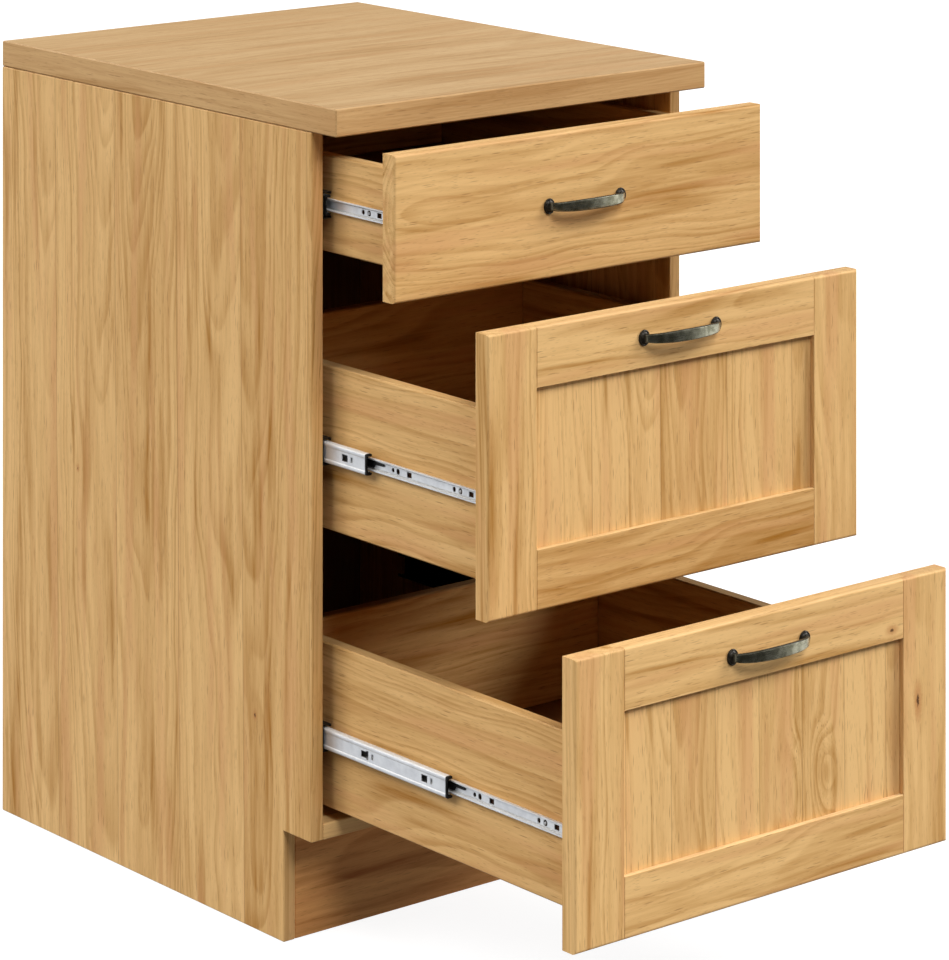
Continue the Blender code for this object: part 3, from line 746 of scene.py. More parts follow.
    def board(self, name: str, wood: Wood, cut: Cut, middle: np.ndarray) -> bpy.types.Material:
        """One board's own finish.

        Args:
            name: the board's name, which its material is called after.
            wood: what it is made of.
            cut: how it was cut.
            middle: the board's middle in the cabinet's frame.

        Returns:
            The material.
        """
        material, b, shader = self._start(f"{name}_finish")
        place, core, halo = self._board_place(b, cut, middle)
        tone: object = cut.tone
        seam = None
        if cut.staves:
            strips = b.place(self.effects.staves, Place=place, Width=cut.staves, Shift=cut.shift)
            place, seam = strips["Place"], strips["Seam"]
            tone = b.line(strips["Tone"], cut.stave_tone, cut.tone)
        labels = f"{TimberEffects.TINTS} {TimberEffects.GRAIN}".split()
        own = {label: getattr(wood, label.lower()) for label in labels}
        timber = b.place(self.effects.timber, Place=place, Tone=tone, **own)
        colour = timber["Colour"]
        if seam is not None:
            colour = b.blend(b.times(seam, 0.35), colour, wood.pore)
        if core is not None:
            colour = b.blend(b.times(halo, 0.55), colour, wood.halo)
            colour = b.blend(b.times(core, 0.9), colour, wood.core)
        # Painted shade or painted highlight: where a face looks up, its colour is multiplied by the cut's
        # face colour.
        if cut.face is not None:
            _x, _y, up = b.split(b.add("ShaderNodeNewGeometry").outputs["Normal"])
            colour = b.blend(b.ramp(up, *self.UPPER), colour, cut.face, "MULTIPLY")
        self._finish(b, shader, timber["Height"], wood.relief, wood.gloss, timber["Roughness"], colour)
        return material

    def metal(self, name: str, finish: Metal) -> bpy.types.Material:
        """A plated or burnished metal.

        Args:
            name: the material's name.
            finish: its colours and how it is brushed.

        Returns:
            The material.
        """
        material, b, shader = self._start(name)
        where = b.add("ShaderNodeTexCoord").outputs["Object"]
        worked = b.place(self.worked, Place=where, Across=finish.brush, Mottle=finish.mottle)
        colour = b.blend(worked["Cloud"], finish.light, finish.dark)
        # Painted reflection and shade: faces that look up, down or sideways take the edge colour and lose
        # some of their metal.
        along, _y, up = b.split(b.add("ShaderNodeNewGeometry").outputs["Normal"])
        level = b.times(b.ramp(b.math("ABSOLUTE", up), *self.LEVEL), finish.edges)
        sideways = b.times(b.ramp(b.math("ABSOLUTE", along), *self.SIDEWAYS), finish.ends)
        edge = b.math("MAXIMUM", level, sideways)
        b.feed(shader.inputs["Metallic"], b.times(b.math("SUBTRACT", 1.0, edge), finish.metallic))
        rough = b.line(worked["Lines"], finish.rough_swing, finish.roughness)
        self._finish(b, shader, worked["Lines"], finish.relief, finish.gloss, rough,
                     b.blend(edge, colour, finish.edge))
        return material

    def shared(self, name: str) -> bpy.types.Material:
        """The one material of a metal or plastic that many pieces share.

        Args:
            name: the finish's name in the table of metals.

        Returns:
            The material, made once.
        """
        if name not in self.made:
            self.made[name] = self.metal(f"{name}_finish", METALS[name])
        return self.made[name]

    def dress(self, piece: bpy.types.Object, material: bpy.types.Material) -> None:
        """Puts one material on every face of a piece.

        Args:
            piece: the piece.
            material: what it wears.
        """
        piece.data.materials.clear()
        piece.data.materials.append(material)
        LOG.info("%s wears %s", piece.name, material.name)

    def dress_board(self, node: str, wood: Wood, cut: Cut) -> None:
        """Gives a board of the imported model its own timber."""
        low, high = span(node)
        self.dress(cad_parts[node], self.board(node, wood, cut, (low + high) / 2))


# ---------------------------------------------------------------- the studio


@dataclass
class Studio:
    """A pale floor, soft lamps and a camera with an upright film.

    Args:
        stand: where the camera stands, in metres.
        bearing: how far to the right of straight back it looks, in degrees.
        swing, fall: the slopes of the picture's middle ray to the right of the bearing, and down.
        film: the film's longer side in millimetres.
        lens: the lens in millimetres.
        faint, bounce: how bright the air is for dull surfaces, above and from the floor.
        dim: how bright the studio is for polished ones, away from its screens.
        screens: each white screen's bearing, in degrees to the right of straight in front, and
            the two cosines between which it eases in.
        lamps: each lamp's name, its bearing in degrees to the right of straight in front, its
            height above the horizon in degrees, and how bright it makes a white face that
            looks straight at it, where 1 is white.
        spread: how wide each lamp looks from the cabinet, in degrees.
        away: how far off the lamps hang.
        haze: the sine of the height over which the floor's brightness gives way to the air's.
        reach, gap: how far the floor runs each way, and how far under the plinth it lies.
        glow: how bright the floor is by itself.
    """

    stand: tuple[float, float, float] = (-2.7487, -3.2999, 1.5137)
    bearing: float = 38.887
    swing: float = 0.01720
    fall: float = 0.25365
    film: float = 36.0
    lens: float = 158.64
    faint: float = 0.02
    bounce: float = 0.30
    dim: float = 0.05
    screens: tuple[tuple[float, float, float], ...] = ((92.0, 0.62, 0.80), (-140.0, 0.55, 0.80))
    lamps: tuple[tuple[str, float, float, float], ...] = (
        ("front_lamp", -11.0, 48.0, 0.70), ("right_lamp", 62.0, 31.0, 0.91),
        ("left_lamp", -95.0, 45.0, 0.39), ("back_left_lamp", -130.0, 30.0, 0.42),
        ("back_lamp", -172.0, 18.0, 0.30))
    spread: float = 28.0
    away: float = 4.0
    haze: float = 0.1
    reach: float = 40.0
    gap: float = 0.0005
    glow: float = 0.9

    def build(self) -> None:
        """Sets up everything."""
        self.paint_world()
        self.lay_floor()
        for name, bearing, height, share in self.lamps:
            self.hang_lamp(name, math.radians(bearing), math.radians(height), share)
        self.stand_camera()
        view = bpy.context.scene.view_settings
        view.view_transform = "Standard"
        view.look = "None"

    def paint_world(self) -> None:
        """A white background that lights the object only faintly, and more from the floor up.

        Polished pieces reflect a dim studio with a few tall white screens: a screen's brightness
        eases in with the cosine of the direction's angle from the screen's middle.
        """
        world = bpy.data.worlds.new("studio_air")
        bpy.context.scene.world = world
        world.use_nodes = True
        bench = Bench(world.node_tree)
        world.node_tree.nodes.clear()
        world.cycles.sampling_method = "NONE"
        x, y, z = bench.split(bench.vector("NORMALIZE", bench.add("ShaderNodeTexCoord").outputs["Object"]))
        walls: object = self.dim
        for bearing, *edges in self.screens:
            turn = math.radians(bearing)
            ahead = bench.math("SUBTRACT", bench.times(x, math.sin(turn)),
                               bench.times(y, math.cos(turn)))
            walls = bench.plus(walls, bench.ramp(ahead, *edges))
        path = bench.add("ShaderNodeLightPath").outputs
        air = bench.ramp(z, -self.haze, self.haze, self.bounce, self.faint)
        faint = bench.add("ShaderNodeBackground", WHITE, air).outputs[0]
        mirrored = bench.add("ShaderNodeBackground", WHITE, walls).outputs[0]
        plain = bench.add("ShaderNodeBackground", WHITE, 1.0).outputs[0]
        soft = bench.add("ShaderNodeMixShader", path["Is Glossy Ray"], faint, mirrored).outputs[0]
        mixed = bench.add("ShaderNodeMixShader", path["Is Camera Ray"], soft, plain).outputs[0]
        bench.add("ShaderNodeOutputWorld", mixed)

    def lay_floor(self) -> None:
        """A broad floor, a hair under the plinth."""
        mesh = bpy.data.meshes.new("studio_floor")
        points = np.array([(-1.0, -1.0, 0.0), (1.0, -1.0, 0.0), (1.0, 1.0, 0.0), (-1.0, 1.0, 0.0)])
        points = points * self.reach - (0.0, 0.0, self.gap)
        mesh.from_pydata(points.tolist(), [], [(0, 1, 2, 3)])
        floor = bpy.data.objects.new("studio_floor", mesh)
        bpy.context.scene.collection.objects.link(floor)
        material = bpy.data.materials.new("pale_floor")
        material.use_nodes = True
        shader = material.node_tree.nodes["Principled BSDF"]
        shader.inputs["Base Color"].default_value = (0.2, 0.2, 0.2, 1.0)
        shader.inputs["Roughness"].default_value = 0.9
        shader.inputs["Emission Color"].default_value = WHITE
        shader.inputs["Emission Strength"].default_value = self.glow
        mesh.materials.append(material)
        floor.visible_diffuse = False
        floor.visible_glossy = False

    def hang_lamp(self, name: str, bearing: float, height: float, share: float) -> None:
        """Hangs one far, broad lamp.

        Args:
            name: the lamp's name.
            bearing, height: where it hangs, in radians.
            share: how bright it makes a white face that looks straight at it.
        """
        level = math.cos(height)
        towards = Vector((math.sin(bearing) * level, -math.cos(bearing) * level, math.sin(height)))
        light = bpy.data.lights.new(name, "SUN")
        light.energy = share * math.pi
        light.angle = math.radians(self.spread)
        lamp = bpy.data.objects.new(name, light)
        lamp.location = towards * self.away
        lamp.rotation_euler = towards.to_track_quat("Z", "Y").to_euler()
        bpy.context.scene.collection.objects.link(lamp)

    def stand_camera(self) -> None:
        """Stands the camera up.

        Its film is upright and its lens is dropped towards the object, as on a view camera,
        so upright edges stay upright in the picture. The film's own axes are level and plumb
        while its middle ray slopes down: the columns of a sheared frame, which the camera
        takes from the stand that it is mounted on.
        """
        turn = math.radians(self.bearing)
        ahead = Vector((math.sin(turn), math.cos(turn), 0.0))
        right = Vector((math.cos(turn), -math.sin(turn), 0.0))
        up = Vector((0.0, 0.0, 1.0))
        middle_ray = (ahead + right * self.swing - up * self.fall).normalized()
        sheared = Matrix.Identity(4)
        for column, axis in enumerate((right, up, -middle_ray, Vector(self.stand))):
            sheared.col[column].xyz = axis
        data = bpy.data.cameras.new("camera")
        data.lens = self.lens
        data.sensor_width = self.film
        data.clip_end = 200.0
        camera = bpy.data.objects.new("camera", data)
        stand = bpy.data.objects.new("camera_stand", None)
        for made in (camera, stand):
            bpy.context.scene.collection.objects.link(made)
        camera.location = self.stand
        camera.rotation_euler = middle_ray.to_track_quat("-Z", "Y").to_euler()
        camera.parent = stand
        own = Matrix.LocRotScale(Vector(self.stand), camera.rotation_euler, None)
        camera.matrix_parent_inverse = sheared @ own.inverted()
        bpy.context.scene.camera = camera


# ---------------------------------------------------------------- laying out meshes


def quads(rows: int, columns: int, looped: bool = True) -> np.ndarray:
    """The faces of a grid of points whose rows follow one another.

    Args:
        rows: how many rows of points there are.
        columns: how many points each row has.
        looped: whether each row's last point joins its first.

    Returns:
        Four point numbers for each face.
    """
    row = np.arange(rows - 1)[:, None] * columns
    over = np.arange(columns if looped else columns - 1)[None, :]
    beside = (over + 1) % columns
    corners = (row + over, row + columns + over, row + columns + beside, row + beside)
    return np.stack(np.broadcast_arrays(*corners), axis=-1).reshape(-1, 4)


def blunt(turn: np.ndarray, power: float) -> tuple[np.ndarray, np.ndarray]:
    """A rounded oblong's two sides: the cosine and sine of the turn, each to a small power."""
    sides = np.stack([np.cos(turn), np.sin(turn)])
    return tuple(np.sign(sides) * np.abs(sides) ** power)


def make_piece(name: str, points: np.ndarray, faces: list, sharp: float = 32.0) -> bpy.types.Object:
    """A mesh object from its points and faces.

    Points that fall together are made one, and the closed skin's faces are turned outwards.

    Args:
        name: the piece's name.
        points: all its points, in metres, in the cabinet's frame.
        faces: point numbers of each face.
        sharp: edges whose faces meet at more than this angle, in degrees, stay crisp.

    Returns:
        The object, at the origin.
    """
    mesh = bpy.data.meshes.new(name)
    mesh.from_pydata(np.asarray(points).reshape(-1, 3).tolist(), [], faces)
    shell = bmesh.new()
    shell.from_mesh(mesh)
    bmesh.ops.remove_doubles(shell, verts=shell.verts, dist=1e-6)
    bmesh.ops.dissolve_degenerate(shell, edges=shell.edges, dist=1e-7)
    bmesh.ops.recalc_face_normals(shell, faces=shell.faces)
    shell.to_mesh(mesh)
    shell.free()
    mesh.polygons.foreach_set("use_smooth", np.ones(len(mesh.polygons), bool))
    mesh.set_sharp_from_angle(angle=math.radians(sharp))
    piece = bpy.data.objects.new(name, mesh)
    bpy.context.scene.collection.objects.link(piece)
    return piece


def carried(name: str, rings: np.ndarray, sharp: float = 32.0) -> bpy.types.Object:
    """A closed skin from rings of points: each ring joins the next, and the ends are capped.

    Args:
        name: the piece's name.
        rings: the points, as rings by points by three.
        sharp: the angle past which an edge stays crisp, in degrees.

    Returns:
        The object.
    """
    count, around = rings.shape[:2]
    faces = quads(count, around).tolist()
    faces.append(list(range(around)))
    faces.append(list(range((count - 1) * around, count * around)))
    return make_piece(name, rings, faces, sharp)


def turned(name: str, profile: np.ndarray, middle: np.ndarray, facing: float = -1.0,
           sides: int = 40, axis: int = 1, slim: float = 1.0) -> bpy.types.Object:
    """A round piece: a profile of radius and height, turned about a line along one axis.

    Each point is the middle, plus the radius times the cosine and sine of the angle across,
    plus the height along the axis. The profile starts and ends on the axis, which closes it.

    Args:
        name: the piece's name.
        profile: radius and height pairs.
        middle: where the axis meets height nought.
        facing: -1 where heights run down the axis, 1 where they run up it.
        sides: how many steps go round.
        axis: 0, 1 or 2 for a line along x, y or z.
        slim: what its width is multiplied by, to make an oval.

    Returns:
        The object.
    """
    angle = np.linspace(0.0, 2.0 * math.pi, sides, endpoint=False)[None, :]
    radius, height = profile[:, :1], profile[:, 1:]
    points = np.empty((len(profile), sides, 3))
    points[..., axis] = facing * height
    points[..., (axis + 1) % 3] = radius * np.cos(angle)
    points[..., (axis + 2) % 3] = radius * np.sin(angle) * slim
    return make_piece(name, points + middle, quads(len(profile), sides).tolist(), 40.0)


PAN_HEAD = np.array([
    (0.0, 0.0), (0.94, 0.0), (1.0, 0.08), (1.0, 0.30), (0.95, 0.55), (0.83, 0.80), (0.66, 0.95),
    (0.46, 1.0), (0.40, 0.96), (0.34, 0.45), (0.22, 0.32), (0.0, 0.28)])


# ---------------------------------------------------------------- drawer fronts


class Along(Enum):
    """Which way a front's board runs: its own axis and the one across it."""

    UPRIGHT = (2, 0)
    LEVEL = (0, 2)


@dataclass
class FrontBoard:
    """One board of a drawer front, with its front edges rounded over.

    Args:
        node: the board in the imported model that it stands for.
        along: which way it runs.
        outer: the round-over's radius at its four edges: across low and high, end low and high.
        groove: the groove's depth in its low and its high edge across.
        tongue: how far a tongue runs out past each shoulder.
        held: the panel groove's or tongue's nearer and farther depth from the face.
        slack: how much thinner the tongue is than its groove, on each side.
        steps: how many faces a round-over has.
        back_ease: the size of the flat that breaks each back edge.
        hair: the strip beside a round-over that keeps the face looking flat.
    """

    node: str
    along: Along
    outer: tuple[float, float, float, float]
    groove: tuple[float, float] = (0.0, 0.0)
    tongue: float = 0.0
    held: tuple[float, float] = (0.0057, 0.0143)
    slack: float = 0.0003
    steps: int = 6
    back_ease: float = 0.0006
    hair: float = 0.0003

    def _arc(self, radius: float) -> np.ndarray:
        """A quarter round as pairs of distance in from the edge and depth below the face.

        At an angle the distance is the radius less its cosine's share, and the depth is the
        radius less its sine's share; one more point a hair further in keeps the face flat.

        Args:
            radius: the round-over's radius.

        Returns:
            The pairs, from the edge to the face.
        """
        angle = np.linspace(0.0, math.pi / 2, self.steps + 1)
        arc = radius * np.stack([1.0 - np.cos(angle), 1.0 - np.sin(angle)], axis=1)
        return np.vstack([arc, [radius + self.hair, 0.0]])

    def _section(self, low: float, high: float, thick: float) -> np.ndarray:
        """The closed outline across the board.

        Args:
            low, high: the places of the board's two edges.
            thick: its thickness.

        Returns:
            Pairs of place across and depth below the face, once round.
        """
        near, far = self.held
        halves = []
        for edge, inward, radius, groove in ((low, 1.0, self.outer[0], self.groove[0]),
                                             (high, -1.0, self.outer[1], self.groove[1])):
            face = self._arc(radius)[::-1]
            half = np.column_stack([edge + inward * face[:, 0], face[:, 1]])
            if groove:
                deep = edge + inward * groove
                half = np.vstack([half, [(edge, near), (deep, near), (deep, far), (edge, far)]])
            back = [(edge, thick - self.back_ease), (edge + inward * self.back_ease, thick)]
            halves.append(np.vstack([half, back]))
        return np.vstack([halves[0], halves[1][::-1]])

    def build(self) -> bpy.types.Object:
        """Carries the outline along the board.

        Near an end the face is held back by the round-over's own arc, so that the two
        round-overs meet in a mitre. Along a tongue the outline is held to the tongue's square.

        Returns:
            The board.
        """
        low, high = span(self.node)
        run, across = self.along.value
        thick = high[1] - low[1]
        section = self._section(low[across], high[across], thick)
        wide = [low[across], high[across]]
        stations, limits = [], []
        for end, inward, radius in ((low[run], 1.0, self.outer[2]), (high[run], -1.0, self.outer[3])):
            shoulder = end + inward * self.tongue
            arc = self._arc(radius)
            places = [shoulder + inward * step for step, _depth in arc]
            bounds = [(*wide, depth, min(thick, thick - self.back_ease + step)) for step, depth in arc]
            if self.tongue:
                grooves = [low[across] + self.groove[0], high[across] - self.groove[1]]
                square = (*grooves, self.held[0] + self.slack, self.held[1] - self.slack)
                places = [end, shoulder, *places]
                bounds = [square, square, *bounds]
            stations += places if inward > 0 else places[::-1]
            limits += bounds if inward > 0 else bounds[::-1]
        limit = np.array(limits)[:, None, :]
        over = np.clip(section[None, :, 0], limit[..., 0], limit[..., 1])
        deep = np.clip(section[None, :, 1], limit[..., 2], limit[..., 3])
        rings = np.empty((*over.shape, 3))
        rings[..., run] = np.array(stations)[:, None]
        rings[..., across] = over
        rings[..., 1] = low[1] + deep
        return carried(self.node + "_board", rings, 24.0)


# ---------------------------------------------------------------- handles


FOOT = np.array([
    (0.0, 0.0), (0.96, 0.0), (1.0, 0.10), (1.0, 0.42), (0.975, 0.56), (0.92, 0.66), (0.86, 0.68),
    (0.82, 0.60), (0.78, 0.58), (0.74, 0.66), (0.68, 0.86), (0.60, 1.0), (0.45, 1.08), (0.0, 1.12)])


@dataclass
class StrapHandle:
    """A bowed strap with an oval foot at each end.

    Args:
        node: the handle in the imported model.
        spacing: from foot to foot.
        thickness: the strap's own.
        middle, end: the strap's height in the middle and at its ends.
        foot_radius, foot_rise: the feet's size.
        slim: a foot's width as a share of its height.
        squareness: the power that makes the bow squarer than an ellipse.
        steps, around: how many faces the strap has along it and round it.
    """

    node: str
    spacing: float = 0.096
    thickness: float = 0.0040
    middle: float = 0.0116
    end: float = 0.0078
    foot_radius: float = 0.0080
    foot_rise: float = 0.0030
    slim: float = 0.86
    squareness: float = 0.90
    steps: int = 72
    around: int = 28

    def strap(self) -> bpy.types.Object:
        """The strap.

        Its middle line runs from foot to foot: across goes as the cosine of an angle and out
        as its sine, both to the same power. Its section is a rounded oblong, whose thickness
        and height go as the cosine and sine of the turn to a small power, and the height
        swells from the ends to the middle.

        Returns:
            The piece.
        """
        low, high = span(self.node)
        reach = high[1] - low[1] - self.thickness / 2 - self.foot_rise * 0.5
        angle = np.linspace(0.0, math.pi, self.steps + 1)
        across = -np.sign(np.cos(angle)) * np.abs(np.cos(angle)) ** self.squareness * self.spacing / 2
        out = np.sin(angle) ** self.squareness * reach
        line = np.stack([across, out], axis=1)
        run = np.gradient(line, axis=0)
        run[0], run[-1] = (0.0, 1.0), (0.0, -1.0)
        run /= np.linalg.norm(run, axis=1, keepdims=True)
        side = np.stack([-run[:, 1], run[:, 0]], axis=1)
        half = (self.end + (self.middle - self.end) * np.sin(angle) ** 1.5) / 2
        turn = np.linspace(0.0, 2.0 * math.pi, self.around, endpoint=False)
        thin = blunt(turn, 0.45)[0] * self.thickness / 2
        tall = blunt(turn, 0.28)[1]
        rings = np.empty((self.steps + 1, self.around, 3))
        centre = (low + high) / 2
        rings[..., 0] = centre[0] + line[:, None, 0] + side[:, None, 0] * thin
        rings[..., 1] = high[1] - self.foot_rise * 0.5 - line[:, None, 1] - side[:, None, 1] * thin
        rings[..., 2] = centre[2] + half[:, None] * tall
        return carried(self.node + "_strap", rings, 40.0)

    def foot(self, side: str, sign: float) -> bpy.types.Object:
        """One foot: a slightly oval plate with a rim and a low boss that the strap grows from.

        Args:
            side: the foot's side.
            sign: -1 for the left side and 1 for the right.

        Returns:
            The piece.
        """
        low, high = span(self.node)
        middle = np.array([(low[0] + high[0] + sign * self.spacing) / 2, high[1], (low[2] + high[2]) / 2])
        profile = FOOT * (self.foot_radius, self.foot_rise)
        return turned(f"{self.node}_{side}_foot", profile, middle, slim=self.slim)


# ---------------------------------------------------------------- drawer slides


@dataclass(frozen=True)
class Window:
    """A hole punched through a rail's web.

    Args:
        behind: from the rail's front end to its middle.
        length, height: its size along the rail and up it.
        round: whether its corners are drawn in to an oval.
    """

    behind: float
    length: float
    height: float
    round: bool = False


MIDDLE_LINE = np.array([
    (0.0085, 0.0074), (0.0085, 0.0093), (0.0083, 0.0098), (0.0078, 0.0100), (0.0060, 0.0100),
    (0.0038, 0.0100), (0.0031, 0.0098), (0.0026, 0.0092), (0.0025, 0.0084), (0.0025, 0.0072),
    (0.0027, 0.0066), (0.0031, 0.0063)])
MIDDLE_WINDOWS = (
    Window(0.0230, 0.0030, 0.0056), Window(0.0340, 0.0090, 0.0070), Window(0.1150, 0.0030, 0.0056),
    Window(0.1232, 0.0036, 0.0088), Window(0.1290, 0.0080, 0.0064))
INNER_LINE = np.array([
    (0.0076, 0.0057), (0.0085, 0.0057), (0.0096, 0.0055), (0.0108, 0.0055), (0.0117, 0.0053),
    (0.0122, 0.0049), (0.0122, 0.0045), (0.0119, 0.0041), (0.0113, 0.0036), (0.0110, 0.0032)])
INNER_WINDOWS = (
    Window(0.0330, 0.0070, 0.0052), Window(0.0493, 0.0056, 0.0062, True),
    Window(0.0587, 0.0046, 0.0054, True), Window(0.1277, 0.0070, 0.0054),
    Window(0.1453, 0.0052, 0.0062, True), Window(0.1531, 0.0044, 0.0046, True))


@dataclass
class SheetRail:
    """A rail bent from zinc sheet, with windows through its web.

    Args:
        node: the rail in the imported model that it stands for.
        side: the cabinet's side that it runs along.
        sign: -1 for the left side and 1 for the right.
        line: the sheet's middle line from its upper edge to the web, as distances from the
            cabinet's side and heights; the lower half mirrors it.
        windows: the holes in its web.
        trim: how much of its front end a cap takes up.
        sheet: how thick the sheet is.
        broken: the size of the flat on its edges.
    """

    node: str
    side: str
    sign: float
    line: np.ndarray
    windows: tuple[Window, ...]
    trim: float = 0.0
    sheet: float = 0.0010
    broken: float = 0.00015

    def build(self) -> bpy.types.Object:
        """Carries the bent line along the rail as a sheet, and gives it its thickness.

        The web's points lie at the windows' edges, so that a window is a group of faces left
        out. A round window's edge points are drawn in to the oval: each goes to the middle
        plus its own direction at the oval's radius.

        Returns:
            The piece, with its thickness and broken edges as modifiers.
        """
        low, high = span(self.node)
        boxes = np.array([(w.behind, w.length / 2, w.height / 2) for w in self.windows])
        rounds = boxes[[w.round for w in self.windows]]
        steps = np.array([-0.5, 0.0, 0.5])
        stops = np.concatenate([boxes[:, 0] - boxes[:, 1], boxes[:, 0] + boxes[:, 1],
                                (rounds[:, :1] + rounds[:, 1:2] * steps).ravel()])
        along = np.unique(np.round(np.concatenate([[self.trim, high[1] - low[1]], stops]), 6))
        rises = np.concatenate([[0.0], -boxes[:, 2], boxes[:, 2], (rounds[:, 2:] * steps).ravel()])
        web = np.unique(np.round(rises, 6))[::-1]
        depth = self.line[-1, 0]
        line = np.vstack([self.line, np.column_stack([np.full(len(web), depth), web]),
                          (self.line * (1.0, -1.0))[::-1]])
        flat_place = np.stack(np.broadcast_arrays(along[:, None], line[None, :, 1]), axis=-1)
        place = flat_place
        for behind, half, tall in rounds:
            off = (place - (behind, 0.0)) / (half, tall)
            rim = np.isclose(np.abs(off).max(axis=-1), 1.0, atol=1e-3)
            drawn = off / np.maximum(np.linalg.norm(off, axis=-1, keepdims=True), 1e-9)
            place = np.where(rim[..., None], drawn * (half, tall) + (behind, 0.0), place)
        points = np.empty((*place.shape[:2], 3))
        points[..., 0] = inner_wall(self.side) - self.sign * line[None, :, 0]
        points[..., 1] = low[1] + place[..., 0]
        points[..., 2] = (low[2] + high[2]) / 2 + place[..., 1]
        faces = quads(len(along), len(line), looped=False)
        middle = flat_place.reshape(-1, 2)[faces].mean(axis=1)
        flat = np.isclose(np.tile(line[:, 0], len(along))[faces], depth).all(axis=1)
        holed = np.zeros(len(faces), bool)
        for behind, half, tall in boxes:
            holed |= flat & (np.abs(middle - (behind, 0.0)) < (half, tall)).all(axis=1)
        rail = make_piece(self.node + "_sheet", points, faces[~holed].tolist(), 50.0)
        wall_maker = rail.modifiers.new("sheet", "SOLIDIFY")
        wall_maker.thickness = self.sheet
        wall_maker.offset = 0.0
        wall_maker.use_even_offset = True
        edge = rail.modifiers.new("broken_edges", "BEVEL")
        edge.width = self.broken
        edge.segments = 1
        edge.angle_limit = math.radians(50.0)
        edge.harden_normals = True
        return rail


CLAW = np.array([
    (0.0088, 0.0086), (0.0088, 0.0098), (0.0085, 0.0104), (0.0078, 0.0106), (0.0040, 0.0106),
    (0.0028, 0.0104), (0.0021, 0.0098), (0.0020, 0.0084), (0.0020, 0.0040), (0.0020, -0.0040),
    (0.0020, -0.0084), (0.0021, -0.0098), (0.0028, -0.0104), (0.0040, -0.0106), (0.0078, -0.0106),
    (0.0085, -0.0104), (0.0088, -0.0098), (0.0088, -0.0084), (0.0044, -0.0084), (0.0037, -0.0078),
    (0.0037, -0.0040), (0.0037, 0.0040), (0.0037, 0.0080), (0.0044, 0.0086)])


